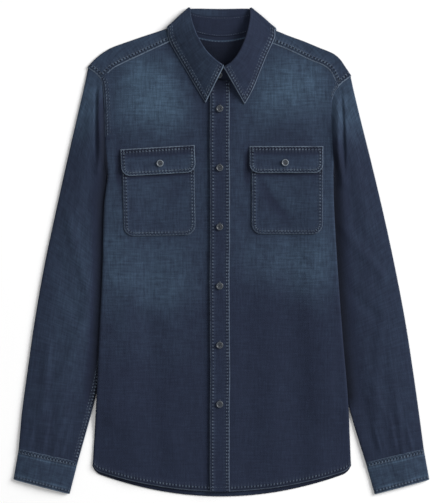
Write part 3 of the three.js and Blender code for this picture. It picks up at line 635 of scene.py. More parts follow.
def cloth_object(name: str, grids: Sequence[Grid], material: bpy.types.Material) -> bpy.types.Object:
    """One cloth piece from its grids: its cut is a UV map; its fade, seam and run are attributes."""
    soup, values, cuts = Soup(), [], []
    for grid in grids:
        points, faces, source = shell(grid)
        soup.add(points, faces)
        columns = (grid.fade, grid.seam, grid.run)
        values.append(np.stack([np.asarray(c, float).reshape(-1)[source] for c in columns], axis=-1))
        cuts.append(grid.cut.reshape(-1, 2)[source] / UV_UNIT)
    mesh = soup.mesh(name)
    values, cuts = np.concatenate(values), np.concatenate(cuts)
    for k, word in enumerate(("fade", "seam", "run")):
        store(mesh, word, values[:, k])
    corner = np.empty(len(mesh.loops), np.int32)
    mesh.loops.foreach_get("vertex_index", corner)
    layer = mesh.uv_layers.new(name="cloth")
    layer.data.foreach_set("uv", cuts[corner].ravel().astype(np.float32))
    return placed(name, mesh, material)


def placed(name: str, mesh: bpy.types.Mesh, material: bpy.types.Material) -> bpy.types.Object:
    """An object at the origin that shows a mesh in a material."""
    mesh.materials.append(material)
    thing = bpy.data.objects.new(name, mesh)
    bpy.context.scene.collection.objects.link(thing)
    return thing


def thread_object(name: str, sewn: Soup, material: bpy.types.Material) -> bpy.types.Object:
    """A piece of thread, which rides on the shirt."""
    thread = placed(name, sewn.mesh(name), material)
    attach(thread, "root")
    return thread


# Thread


@dataclass(frozen=True)
class Thread:
    """A row of stitches: each a small bar that dips into the cloth at both ends."""

    stitch: float = 3.4
    space: float = STITCH_PITCH - 3.4
    half_width: float = 0.42
    half_height: float = 0.28
    sides: int = 6

    def sew(self, soup: Soup, line: tuple[Array, Array], seed: int = 0) -> None:
        """Adds a row of stitches along a line on a face.

        A stitch is four rings: two full ones, raised by 0.4 of its half height, between two of 0.3 of
        their size, sunk by its half height.

        Args:
            soup: Where the bars are gathered.
            line: Points along the row and the face's directions there.
            seed: Seed for the small unevenness of the stitches.
        """
        points, normals = line
        run = travelled(points)
        pitch = self.stitch + self.space
        count = int(run[-1] // pitch)
        if count < 1:
            return
        rng = np.random.default_rng(seed)
        start = (np.arange(count) + 0.1) * pitch + rng.uniform(-0.18, 0.18, count)
        t = np.array([0.0, 0.2, 0.8, 1.0])
        at = start[:, None] + t[None, :] * self.stitch
        centre, up = (
            np.stack([np.interp(at, run, a[:, k]) for k in range(3)], axis=-1) for a in (points, normals)
        )
        up = unit(up)
        ahead = unit(centre[:, -1:] - centre[:, :1]) + np.zeros_like(centre)
        side = unit(np.cross(ahead, up))
        full = np.array([0.3, 1.0, 1.0, 0.3])[None, :, None]
        turn = np.linspace(0, 2 * math.pi, self.sides, endpoint=False)
        centre = centre + side * rng.uniform(-0.12, 0.12, (count, 1, 1))
        centre = centre + up * self.half_height * (2 * full - 1.6)
        ring = (
            centre[:, :, None]
            + side[:, :, None] * (np.cos(turn) * self.half_width)[None, None, :, None] * full[..., None]
            + up[:, :, None] * (np.sin(turn) * self.half_height)[None, None, :, None] * full[..., None]
        )
        index = np.arange(t.size * self.sides).reshape(t.size, self.sides)
        ends = np.array([[0, 1, 2, 3], [0, 3, 4, 5]])
        caps = (index[0][ends], index[-1][ends][:, ::-1])
        one = np.concatenate([quads(index, around=True)[:, ::-1], *caps])
        one = outward(ring[0].reshape(-1, 3) - ring[0].reshape(-1, 3).mean(axis=0), one)
        faces = one[None] + (np.arange(count) * index.size)[:, None, None]
        soup.add(ring.reshape(-1, 3), faces.reshape(-1, 4))


TOPSTITCH = Thread()
FINE_STITCH = Thread(stitch=2.6, space=1.4, half_width=0.3, half_height=0.2)
BUTTON_BAR = Thread(stitch=2.9, space=0.1, half_width=0.42, half_height=0.3)


# Materials


def linear(red: int, green: int, blue: int) -> tuple[float, float, float, float]:
    """A colour given as 0 to 255, as the renderer's linear values."""
    shares = (((c / 255 + 0.055) / 1.055) ** 2.4 if c > 10 else c / 3294 for c in (red, green, blue))
    return (*shares, 1.0)


class Shade:
    """A material and its nodes."""

    def __init__(self, name: str) -> None:
        """Starts an empty node tree.

        Args:
            name: The material's name.
        """
        self.material = bpy.data.materials.new(name)
        self.material.use_nodes = True
        self.tree = self.material.node_tree
        self.tree.nodes.clear()

    def node(
        self, kind: str, settings: dict | None = None, inputs: dict | None = None
    ) -> bpy.types.Node:
        """Makes any node.

        Args:
            kind: The node's type.
            settings: Its properties, set first.
            inputs: Values or wires of its sockets, by name or number.

        Returns:
            The node.
        """
        node = self.tree.nodes.new(kind)
        for key, value in (settings or {}).items():
            setattr(node, key, value)
        for key, value in (inputs or {}).items():
            if isinstance(value, Wire):
                self.tree.links.new(value.socket, node.inputs[key])
            else:
                node.inputs[key].default_value = value
        return node

    def wire(
        self, kind: str, output: str | int = 0, settings: dict | None = None, inputs: dict | None = None
    ) -> Wire:
        """Makes a node and returns one of its outputs."""
        return Wire(self, self.node(kind, settings, inputs).outputs[output])

    def attribute(self, name: str) -> Wire:
        """A number stored on the mesh."""
        return self.wire("ShaderNodeAttribute", "Fac", {"attribute_name": name})

    def noise(
        self, vector: Wire, scale: tuple[float, float, float], detail: float = 2.0, rough: float = 0.55
    ) -> Wire:
        """Noise of about 0 to 1 on a vector that is scaled first."""
        scaled = self.wire("ShaderNodeMapping", 0, None, {"Vector": vector, "Scale": scale})
        inputs = {"Vector": scaled, "Scale": 1.0, "Detail": detail, "Roughness": rough}
        return self.wire("ShaderNodeTexNoise", "Fac", None, inputs)

    def blend(self, share: Wire, a: Wire | tuple, b: Wire | tuple) -> Wire:
        """Colour from a to b."""
        return self.wire("ShaderNodeMix", 2, {"data_type": "RGBA"}, {0: share, 6: a, 7: b})

    def scaled(self, colour: Wire, factor: Wire) -> Wire:
        """Colour made brighter or darker by a factor."""
        return self.wire("ShaderNodeVectorMath", 0, {"operation": "SCALE"}, {0: colour, "Scale": factor})

    def finish(self, constants: dict, inputs: dict) -> bpy.types.Material:
        """Closes the tree with a surface shader.

        Args:
            constants: Values that are the same all over, set on the shader's own sockets.
            inputs: Wires for what varies.

        Returns:
            The material.
        """
        shader = self.node("ShaderNodeBsdfPrincipled", None, {**constants, **inputs})
        self.node("ShaderNodeOutputMaterial", None, {"Surface": Wire(self, shader.outputs[0])})
        return self.material


@dataclass(frozen=True)
class Wire:
    """A node's output with arithmetic: every operator adds one Math node."""

    shade: Shade
    socket: bpy.types.NodeSocket

    def math(self, operation: str, *others: Wire | float, clamp: bool = False) -> Wire:
        """This value put through a Math node with others."""
        inputs = dict(enumerate((self, *others)))
        return self.shade.wire("ShaderNodeMath", 0, {"operation": operation, "use_clamp": clamp}, inputs)

    def __add__(self, other: Wire | float) -> Wire:
        """Sum."""
        return self.math("ADD", other)

    def __mul__(self, other: Wire | float) -> Wire:
        """Product."""
        return self.math("MULTIPLY", other)

    def __sub__(self, other: Wire | float) -> Wire:
        """Difference."""
        return self.math("SUBTRACT", other)

    def __rsub__(self, other: float) -> Wire:
        """Difference the other way round."""
        return (self * -1.0) + other

    def sin(self) -> Wire:
        """Sine of an angle in radians."""
        return self.math("SINE")

    def positive(self) -> Wire:
        """The value where it is over 0, and 0 elsewhere."""
        return self.math("MAXIMUM", 0.0)

    def held(self) -> Wire:
        """The value held between 0 and 1."""
        return self.math("ADD", 0.0, clamp=True)

    def smooth(self, low: float, high: float) -> Wire:
        """Smooth step from 0 at low to 1 at high."""
        inputs = {"Value": self, "From Min": low, "From Max": high}
        return self.shade.wire("ShaderNodeMapRange", 0, {"interpolation_type": "SMOOTHSTEP"}, inputs)


@dataclass(frozen=True)
class Denim:
    """Washed indigo twill. Colours are the dark cloth, the faded cloth and the worn edges."""

    name: str
    dark: tuple[int, int, int] = (32, 39, 57)
    faded: tuple[int, int, int] = (60, 78, 97)
    worn: tuple[int, int, int] = (116, 131, 148)
    slub: float = 0.75
    edge_wear: float = 0.34
    pucker_wear: float = 0.34
    # pucker_shade: how far painted shade darkens the hollow inside a sewn edge and the hollows between
    # puckers
    pucker_shade: float = 0.44

    def material(self) -> bpy.types.Material:
        """The cloth's shader.

        The fade attribute with noise chooses between the dark and the faded cloth;
        below 0 it paints shade, darker than the dark cloth. Long thin noise along and across the grain
        makes slubs. A pale line of wear lies on a sewn edge itself, with a hollow of painted shade inside
        it. Along the row at PUCKER_ROW a wave makes puckers, pale with wear on their ridges and with
        painted shade between, and faint pale streaks run on from them. Twill, slubs and puckers also feed
        the bump, in millimetres.
        """
        shade = Shade(self.name)
        cut = shade.wire("ShaderNodeUVMap", 0, {"uv_map": "cloth"})
        warp = shade.noise(cut, (34.0, 3.4, 1.0), 3.0, 0.65) - 0.5
        weft = shade.noise(cut, (3.4, 34.0, 1.0), 3.0, 0.65) - 0.5
        mottle = shade.noise(cut, (3.2, 2.8, 1.0), 4.0, 0.6) - 0.5
        patch = shade.noise(cut, (13.0, 11.0, 1.0), 3.0, 0.6) - 0.5
        grain = shade.noise(cut, (95.0, 95.0, 1.0), 2.0, 0.6) - 0.5
        u = shade.wire("ShaderNodeSeparateXYZ", 0, None, {0: cut})
        v = shade.wire("ShaderNodeSeparateXYZ", 1, None, {0: cut})
        twill = (u * (2 * math.pi * UV_UNIT / 1.5) + v * (2 * math.pi * UV_UNIT / 1.1)).sin()
        seam, run, fade = (shade.attribute(word) for word in ("seam", "run", "fade"))
        along = shade.wire("ShaderNodeCombineXYZ", 0, None, {0: run, 1: seam * 0.25})
        wander = shade.noise(along, (0.07, 0.09, 1.0), 2.0, 0.6)
        strength = shade.noise(along, (0.05, 0.2, 1.0), 2.0, 0.6)
        wave = (run * (2 * math.pi / STITCH_PITCH) + wander * 3.0 - 2.5).sin()
        row = seam.smooth(3.1, 4.0) * (1.0 - seam.smooth(5.7, 6.6))
        streak = wave.positive() * seam.smooth(6.0, 7.0) * (1.0 - seam.smooth(8.0, 13.0)) * strength
        dash = wave.smooth(-0.3, 0.8) * row * strength.smooth(0.2, 0.7) + streak * 0.3
        # Painted shade: a hollow just inside a sewn edge and the hollows between the puckers
        trench = seam.smooth(0.9, 1.6) * (1.0 - seam.smooth(2.6, 3.5)) * 0.55
        gap = (wave * -1.0).smooth(-0.6, 0.6) * row + trench
        line = (1.0 - seam.math("ABSOLUTE").smooth(0.3, 1.3)) * strength.smooth(0.1, 0.65)
        spread = mottle * 0.75 + patch * 0.55 + (warp + weft) * 0.5
        share = fade + spread * (fade.positive() * 1.25 + 0.2)
        colour = shade.blend(share.held(), linear(*self.dark), linear(*self.faded))
        slubs = (warp + weft) * self.slub + grain * 0.6
        tone = slubs * (fade.positive() * 0.8 + 0.7) + twill * 0.03 + 1.0
        # Painted shade: where the fade value is below 0, the cloth darkens beyond its dark colour
        painted_shade_factor = 1.0 - (fade * -1.0).positive() * 0.9
        colour = shade.scaled(colour, tone * painted_shade_factor * (1.0 - gap * self.pucker_shade))
        wear = line * self.edge_wear + dash * self.pucker_wear
        colour = shade.blend(wear.held(), colour, linear(*self.worn))
        height = twill * 0.035 + warp * 0.2 + weft * 0.16 + (dash - gap) * 0.26 + grain * 0.08
        bump = shade.wire("ShaderNodeBump", 0, None, {"Strength": 1.0, "Distance": MM, "Height": height})
        constants = {"Specular IOR Level": 0.12, "Sheen Weight": 0.03, "Sheen Roughness": 0.5}
        inputs = {"Base Color": colour, "Roughness": mottle * 0.1 + 0.88, "Normal": bump}
        return shade.finish(constants, inputs)


@dataclass(frozen=True)
class SewingThread:
    """Grey-blue thread, worn unevenly along its rows."""

    name: str
    colour: tuple[int, int, int] = (50, 60, 77)
    worn: tuple[int, int, int] = (86, 99, 115)

    def material(self) -> bpy.types.Material:
        """The thread's shader: noise between two colours, with a fine twist in the bump."""
        shade = Shade(self.name)
        place = shade.wire("ShaderNodeTexCoord", "Object")
        patch = shade.noise(place, (60.0, 60.0, 60.0), 3.0)
        twist = shade.noise(place, (2600.0, 2600.0, 2600.0), 1.0)
        colour = shade.blend(patch.smooth(0.35, 0.65), linear(*self.colour), linear(*self.worn))
        relief = {"Strength": 0.5, "Distance": 0.0001, "Height": twist}
        bump = shade.wire("ShaderNodeBump", 0, None, relief)
        inputs = {"Base Color": colour, "Roughness": twist * 0.1 + 0.6, "Normal": bump}
        return shade.finish({"Specular IOR Level": 0.3}, inputs)


@dataclass(frozen=True)
class Resin:
    """Dark grey button resin, polished, with faint clouds."""

    name: str
    dark: tuple[int, int, int] = (36, 40, 47)
    pale: tuple[int, int, int] = (112, 121, 131)

    def material(self) -> bpy.types.Material:
        """The buttons' shader: a pale rim, which is a painted highlight, faint clouds, and fine scratches
        in the roughness.
        """
        shade = Shade(self.name)
        place = shade.wire("ShaderNodeTexCoord", "Object")
        cloud = shade.noise(place, (260.0, 420.0, 260.0), 3.0)
        scratch = shade.noise(place, (3000.0, 500.0, 900.0), 2.0)
        # Painted highlight on the raised rim; the clouds add a little paleness of the resin itself
        pale = (shade.attribute("rim") * 0.8 + cloud.smooth(0.3, 0.75) * 0.16).held()
        colour = shade.blend(pale, linear(*self.dark), linear(*self.pale))
        constants = {"Coat Weight": 0.12, "Coat Roughness": 0.25, "IOR": 1.45}
        return shade.finish(constants, {"Base Color": colour, "Roughness": scratch * 0.2 + 0.25})


@dataclass(frozen=True)
class Paper:
    """The pale, matt floor."""

    name: str = "pale_floor"

    def material(self) -> bpy.types.Material:
        """The floor's shader."""
        shade = Shade(self.name)
        place = shade.wire("ShaderNodeTexCoord", "Object")
        cloud = shade.noise(place, (3.0, 3.0, 3.0), 2.0)
        colour = shade.blend(cloud, (0.95, 0.95, 0.95, 1.0), (0.96, 0.96, 0.96, 1.0))
        inputs = {"Base Color": colour, "Roughness": cloud * 0.05 + 0.9}
        return shade.finish({"Specular IOR Level": 0.1}, inputs)


PLAIN_DENIM = Denim("indigo_denim")
CRISP_DENIM = Denim("indigo_denim_worn_edges", edge_wear=0.66, pucker_wear=0.46, pucker_shade=0.56)
SEAM_THREAD = SewingThread("grey_blue_thread")
DARK_THREAD = SewingThread("indigo_thread", (34, 40, 54), (56, 64, 78))


@dataclass
class Finishes:
    """The shirt's materials, made once. The crisp denim has clearer worn edges and deeper painted shade at
    its puckers than the plain one.
    """

    denim: bpy.types.Material = field(default_factory=PLAIN_DENIM.material)
    crisp: bpy.types.Material = field(default_factory=CRISP_DENIM.material)
    thread: bpy.types.Material = field(default_factory=SEAM_THREAD.material)
    dark_thread: bpy.types.Material = field(default_factory=DARK_THREAD.material)
    resin: bpy.types.Material = field(default_factory=Resin("button_resin").material)


@dataclass(frozen=True)
class Cut:
    """Flat size of a piece before it was sewn, in metres, and what it rests on."""

    width: float
    length: float
    area: float | None = None
    rests_on: tuple[str, ...] = ("floor",)


@dataclass
class Piece:
    """Base of every cloth piece: its grids become an object, its stitches another."""

    crisp: ClassVar[bool] = False
    finishes: Finishes

    def dress(self, node: str, slot: str, grids: Sequence[Grid], cut: Cut, sewn: Soup) -> None:
        """Makes a cloth object and its stitches.

        Args:
            node: The solid that it replaces, which also gives it its name.
            slot: The record's material slot; not used.
            grids: The cloth.
            cut: Its flat size; not used.
            sewn: Its stitches.
        """
        name = f"{node}_cloth"
        cloth = cloth_object(name, grids, self.finishes.crisp if self.crisp else self.finishes.denim)
        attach(cloth, "root")
        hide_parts(node)
        if sewn.count:
            thread_object(f"{name}_stitches", sewn, self.finishes.thread)
        area = sum(polygon.area for polygon in cloth.data.polygons) / 2
        LOG.info("%s: %d faces, %.4f square metres a side", name, len(cloth.data.polygons), area)


# Body


@dataclass
class Front(Piece):
    """One front panel, from the middle to side seam and armhole and from hem to neck and yoke."""

    side: Side = Side.RIGHT
    hem: float = -395.5
    hem_rise: float = FRONT_HEM_RISE
    neck_drop: float = NECK_DROP
    rows: int = 250
    neck_columns: int = 30
    side_columns: int = 52
    ridge: float = 0.55
    ridge_width: float = 12.0

    @property
    def middle(self) -> float:
        """Edge at the middle, as a distance towards the panel's own side."""
        return -LAY.underlap if self.side is Side.RIGHT else LAY.placket_base

    def plan(self) -> tuple[Array, Array]:
        """Plan of the panel.

        Rows climb from the hem to the neck and yoke seam; columns go from the middle to the outer edge.
        Both depend on each other, so they are settled in eight passes.
        """
        cut, sign = OUTLINES[self.side], self.side.value
        neck, end = cut.neck, cut.seam_end
        middle = self.middle
        angle = np.linspace(math.asin(middle / neck[0]), math.pi / 2, self.neck_columns)
        beyond = np.linspace(neck[0], end[0], self.side_columns)[1:]
        high = np.concatenate([neck[0] * np.sin(angle), beyond])
        even = np.linspace(0, 1, high.size)
        share_high = (high - middle) / (end[0] - middle)
        share_low = mix(even, 1 - (1 - even) ** 2, 0.3)
        top = np.where(
            high >= neck[0],
            cut.seam(high),
            neck[1] - (neck[1] - self.neck_drop) * np.sqrt(np.clip(1 - (high / neck[0]) ** 2, 0, 1)),
        )
        v = np.linspace(0, 1, self.rows)[:, None]
        v = mix(v, 1 - (1 - v) ** 2, 0.25)
        share = mix(share_low[None], share_high[None], v)
        y = mix(np.full_like(share, self.hem), self.neck_drop, v)
        x = np.zeros_like(y)
        for _ in range(8):
            x = sign * mix(middle, cut.edge(np.minimum(y, end[1])), share)
            reach = cut.edge(self.hem) + 0.2
            y = mix(hem_at(x, reach, self.hem, self.hem_rise), top[None], v)
        return x, y

    def creases(self) -> tuple[Crease, ...]:
        """The panel's own creases."""
        if self.side is Side.RIGHT:
            return (
                Crease(-176, 236, -128, 168, 0.7, 9, 3),
                Crease(-186, 120, -150, 22, 0.8, 12, -4),
                Crease(-168, 8, -60, -28, 0.5, 12, 5),
                Crease(-60, 10, -34, -110, 0.55, 11, -4),
                Crease(-150, -70, -120, -260, 0.7, 13, 6),
                Crease(-190, -120, -176, -330, 0.8, 9, 4),
                Crease(-104, -190, -66, -372, 0.6, 12, -6),
                Crease(-50, -160, -36, -360, 0.5, 9, 3),
                Crease(-62, 300, -84, 196, 0.45, 11, 4),
                Crease(-140, 300, -112, 214, 0.4, 12, -3),
            )
        return (
            Crease(170, 238, 120, 174, 0.7, 9, -3),
            Crease(178, 128, 150, 20, 0.8, 12, 5),
            Crease(160, 6, 52, -24, 0.5, 13, -5),
            Crease(46, 30, 34, -120, 0.5, 10, 4),
            Crease(146, -60, 122, -240, 0.7, 13, -6),
            Crease(188, -110, 178, -340, 0.8, 9, -4),
            Crease(92, -170, 70, -366, 0.6, 12, 6),
            Crease(48, -150, 40, -350, 0.45, 9, -3),
            Crease(60, 296, 86, 198, 0.45, 11, -4),
            Crease(150, 296, 118, 216, 0.4, 12, 3),
        )

    def build(self) -> None:
        """The panel as a wall on the body's upper layer.

        Its upper face adds the creases, small waves, and a ridge over the turnings of hem and armhole.
        Below the armpit the edge turns down over 3 mm to meet the back.
        """
        x, y = self.plan()
        under = LAY.front_under(self.side)(x, y)
        cut = OUTLINES[self.side]
        from_edge = cut.edge(np.minimum(y, cut.seam_end[1])) - np.abs(x)
        calm = smooth(from_edge, 2, 26) * smooth(y - self.hem, 6, 40)
        lift = sum(crease(x, y) for crease in self.creases()) * calm
        lift = lift + Unevenness(11 + self.side.value, 0.16)(x, y) * smooth(from_edge, 0, 14)
        armhole = smooth(y, 126, 150)
        hem_depth = y - hem_at(x, cut.edge(self.hem) + 0.2, self.hem, self.hem_rise)
        ridge = self.ridge * (1 - smooth(from_edge, self.ridge_width - 1.5, self.ridge_width)) * armhole
        ridge = np.maximum(ridge, 0.4 * (1 - smooth(hem_depth, 8, 9.5)))
        down = np.clip(1 - from_edge / 3.2, 0, 1) * (1 - armhole)
        drop = 1.3 * (1 - np.sqrt(1 - 0.96 * down**2))
        face = under + LAY.cloth + lift + ridge - drop
        reach = 1.0 * smooth(from_edge, 3, 0.2) * armhole
        x = x + self.side.value * reach
        grid = Grid(
            stacked(x, y, face),
            stacked(x, y, np.maximum(under - 0.5 * down, face - LAY.cloth - ridge * 0.4)),
            flat(x, y),
            BODY_WASH_AND_SHADE(x, y),
        )
        lowest_stitch = {Side.RIGHT: 188.0, Side.LEFT: 250.0}[self.side]
        keep = y[:, -1] > lowest_stitch
        grid.sew(Edge.LAST_COLUMN, keep)
        grid.sew(Edge.FIRST_ROW, row=5.6)
        sewn = Soup()
        for k, inset in enumerate((5.0, 10.6)):
            points, up = grid.path(Edge.LAST_COLUMN, inset)
            TOPSTITCH.sew(sewn, (points[keep], up[keep]), 40 + k)
        TOPSTITCH.sew(sewn, grid.path(Edge.FIRST_ROW, 6.2), 44)
        area = {Side.RIGHT: 0.148, Side.LEFT: 0.15}[self.side]
        below = ("back_cloth",) if self.side is Side.RIGHT else ("back_cloth", "front_right_cloth")
        cut_size = Cut(0.232, 0.752, area, below)
        self.dress(f"front_{self.side.word}", "denim_faded", [grid], cut_size, sewn)


@dataclass
class Back(Piece):
    """The back panel, flat on the floor, rising over the sleeves at its sides."""

    hem: float = -404.0
    hem_rise: float = 34.0
    seam: float = 244.7
    rows: int = 120
    columns: int = 84
    creases: tuple[Crease, ...] = (
        Crease(-150, 204, -58, 118, 0.8, 12, 6),
        Crease(152, 190, 40, 108, 0.7, 13, -6),
        Crease(-122, 62, 92, 18, 0.6, 15, 8),
        Crease(-162, -38, -20, -92, 0.8, 12, -7),
        Crease(58, -28, 150, -152, 0.7, 12, 6),
        Crease(-92, -138, -70, -342, 0.9, 14, 8),
        Crease(18, -120, 44, -362, 0.7, 13, -6),
        Crease(132, -184, 118, -350, 0.8, 11, 5),
    )

    def build(self) -> None:
        """The panel: x runs between its two side seams, y from the hem to the yoke seam.

        Its creases lift both faces, so that they show as hollows from below.
        """
        right, left = OUTLINES[Side.RIGHT], OUTLINES[Side.LEFT]
        s = np.linspace(0, 1, self.columns)[None]
        s = mix(s, (1 - np.cos(math.pi * s)) / 2, 0.4)
        v = np.linspace(0, 1, self.rows)[:, None]
        y = mix(np.full((self.rows, self.columns), self.hem), self.seam, v)
        x = np.zeros_like(y)
        for _ in range(8):
            x = mix(-right.edge(y), left.edge(y), s)
            reach = np.where(x < 0, right.edge(self.hem), left.edge(self.hem)) + 0.2
            y = mix(hem_at(x, reach, self.hem, self.hem_rise), self.seam, v)
        hem_depth = y - hem_at(x, reach, self.hem, self.hem_rise)
        calm = smooth(LAY.edge(x, y) - np.abs(x), 10, 60) * smooth(hem_depth, 14, 50)
        calm = calm * (1 - smooth(y, 206, 240))
        under = LAY.bottom(x, y) + sum(crease(x, y) for crease in self.creases) * calm
        face = under + LAY.cloth + 0.35 * (1 - smooth(hem_depth, 7, 8.5))
        outer, inner = stacked(x, y, face), stacked(x, y, under + 0.12)
        # Painted shade: the back is darker than the dark cloth where it shows, paler towards the middle of
        # its hem
        fade = 0.5 * np.exp(-((x / 120) ** 2)) * smooth(y, -360, -385) - 0.4
        grid = Grid(outer, inner, flat(x, y), fade)
        sewn = Soup()
        FINE_STITCH.sew(sewn, grid.path(Edge.FIRST_ROW, 6.6), 50)
        below = grid.flipped()
        FINE_STITCH.sew(sewn, below.path(Edge.FIRST_ROW, 6.6), 51)
        for k, edge in enumerate((Edge.FIRST_COLUMN, Edge.LAST_COLUMN)):
            for inset in (1.6, 7.4):
                TOPSTITCH.sew(sewn, below.path(edge, inset), 52 + k)
        self.dress("back", "denim", [grid], Cut(0.43, 0.649, 0.259), sewn)


@dataclass
class Yoke(Piece):
    """The yoke: from the back seam over each shoulder to the front seams, and behind the neck."""

    crisp: ClassVar[bool] = True
    neck_point: float = NECK_POINT
    inner_x: float = 62.0
    back_seam: float = BACK_YOKE_SEAM
    back_neck: float = BACK_NECK
    back_neck_rise: float = BACK_NECK_RISE
    shoulder_fold: float = 1.4
    shares: tuple[float, ...] = (0.28, 0.2, 0.15, 0.108, 0.07, 0.04, 0.012, 0.0)
    columns: int = 70
    under_steps: int = 24
    turn_steps: int = 7
    over_steps: int = 40

    def bent(self, low: Array, high: Array, curve: Sequence[Array], t: Array, f: Array) -> list[Array]:
        """Plan of a path across the yoke, bent by f from straight towards the armhole's curve."""
        return [
            mix(low[..., k : k + 1], high[..., k : k + 1], t) + f * (c - mix(c[..., :1], c[..., -1:], t))
            for k, c in enumerate(curve)
        ]

    def armhole_at(self, cut: Outline, t: Array, shares: Array) -> Array:
        """Height of the armhole at places t of a path that runs through the shares evenly."""
        return cut.armhole(np.interp(t * (shares.size - 1), np.arange(shares.size), shares))

    def shoulder(self, side: Side) -> Grid:
        """One shoulder: a layer below, a half turn at the shoulder line and a layer above."""
        cut, sign = OUTLINES[side], side.value
        f = np.linspace(0, 1, self.columns)[:, None]
        point = cut.shoulder.at[-1]
        top_x = mix(self.neck_point, point, f)
        top = np.concatenate([top_x, cut.shoulder(top_x) - self.shoulder_fold * (1 - f)], axis=1)
        neck, end = cut.neck, cut.seam_end
        front_x = mix(neck[0], end[0], f)
        slope = (cut.seam(front_x + 1) - cut.seam(front_x - 1)) / 2
        away = -0.9 / np.hypot(slope, 1)
        front = np.concatenate([front_x - slope * away, cut.seam(front_x) + away], axis=1)
        low_x = mix(self.inner_x, cut.edge(self.back_seam), f)
        low = np.concatenate([low_x, np.full_like(f, self.back_seam)], axis=1)
        span = cut.armhole_top - ARMPIT
        first = (cut.armhole_top - self.back_seam) / span
        shares = np.array([first, *self.shares])
        t_under = np.linspace(0, 1, self.under_steps)[None]
        under_y = self.armhole_at(cut, t_under, shares)
        under = self.bent(low, top, (cut.edge(under_y), under_y), t_under, f)
        over_shares = np.array([0, 0.012, 0.04, 0.07, 0.108])
        t_over = np.linspace(0, 1, self.over_steps)[None]
        over_y = self.armhole_at(cut, t_over, over_shares)
        over = self.bent(top, front, (cut.edge(over_y), over_y), t_over, f)
        half = LAY.cloth / 2
        lower = stacked(sign * under[0], under[1], LAY.bottom(sign * under[0], under[1]) + half)
        upper = stacked(sign * over[0], over[1], LAY.top(sign * over[0], over[1]) + half)
        radius = (upper[:, :1, 2:] - lower[:, -1:, 2:]) / 2
        out = unit((upper[:, :1] - upper[:, 1:2]) * np.array([1.0, 1.0, 0.0]))
        angle = np.linspace(0, math.pi, self.turn_steps + 2)[1:-1][None, :, None]
        turn = lower[:, -1:] + out * radius * np.sin(angle)
        turn = turn + UP * radius * (1 - np.cos(angle))
        hidden = self.under_steps + self.turn_steps
        depth = np.concatenate([np.full((self.columns, hidden), FAR), to_last_column(upper)], axis=1)
        surface = np.concatenate([lower, turn, upper], axis=1)
        normal = unit(np.cross(np.gradient(surface, axis=0), np.gradient(surface, axis=1)))
        normal = normal * np.where(normal[:, -1:, 2:] < 0, -1, 1)
        on_top = np.concatenate([np.zeros((1, hidden)), np.ones((1, self.over_steps))], axis=1)
        ridge = 0.5 * (1 - smooth(depth, 8.0, 9.5)) * on_top
        waves = Unevenness(31 + sign, 0.14)(surface[..., 0], surface[..., 1]) * on_top
        outer = surface + normal * (half + (ridge + waves)[..., None])
        inner = surface - normal * half
        along = reached(surface, 1)
        cut_x = sign * mix(self.inner_x, 200.0, f) + 0 * along
        cut_plan = np.stack([cut_x, self.back_seam + along], axis=-1)
        fade = 0.02 + on_top * (0.2 + 0.14 * smooth(surface[..., 1], 300, 350))
        grid = Grid(outer, inner, cut_plan, fade)
        grid.sew(Edge.LAST_COLUMN, row=6.0)
        over_armhole = surface[-1, :, 2] > LAY.cloth + 1.2
        grid.sew(Edge.LAST_ROW, over_armhole, row=6.0)
        return grid

    def middle(self) -> Grid:
        """The part behind the neck, up to its seam with the stand and a narrow facing along it."""
        v = np.linspace(0, 1, 70)[:, None]
        share = np.linspace(-1, 1, 60)[None]
        x = share * (mix(self.inner_x, self.neck_point, v) + 0.6)
        neck = self.back_neck + self.back_neck_rise * (x / self.neck_point) ** 2
        limit = np.where(x < 0, *(OUTLINES[side].shoulder(self.neck_point) - 1.2 for side in Side))
        y = mix(self.back_seam, np.minimum(neck, limit), v)
        under = LAY.bottom(x, y)
        facing = 0.45 * smooth(y - neck, -9.2, -8.4)
        # Painted shade: the inside of the back under the collar is darker than the dark cloth, less so on
        # the facing; a narrow pale line runs along the facing
        fade = mix(-0.46 + 0 * y, -0.12, smooth(y - neck, -9.4, -8.6))
        fade = fade + 1.1 * np.exp(-((y - neck + 6.8) ** 2))
        outer, inner = stacked(x, y, under + LAY.cloth + facing), stacked(x, y, under + 0.06)
        return Grid(outer, inner, flat(x, y), fade)

    def build(self) -> None:
        """The three parts as one piece: double rows at front seams and armholes, one at the neck."""
        shoulders = {side: self.shoulder(side) for side in Side}
        middle = self.middle()
        sewn = Soup()
        for side, grid in shoulders.items():
            for k, inset in enumerate((1.6, 7.6)):
                TOPSTITCH.sew(sewn, grid.path(Edge.LAST_COLUMN, inset), 60 + k)
                points, up = grid.path(Edge.LAST_ROW, inset)
                keep = up[:, 2] > 0.6
                TOPSTITCH.sew(sewn, (points[keep], up[keep]), 64 + k)
        TOPSTITCH.sew(sewn, middle.path(Edge.LAST_ROW, 7.4), 66)
        below = middle.flipped()
        TOPSTITCH.sew(sewn, below.path(Edge.FIRST_ROW, 2.0), 67)
        TOPSTITCH.sew(sewn, below.path(Edge.FIRST_ROW, 8.0), 68)
        cut = Cut(0.43, 0.2, 0.054, ("floor", "back_cloth"))
        self.dress("yoke", "denim", [*shoulders.values(), middle], cut, sewn)


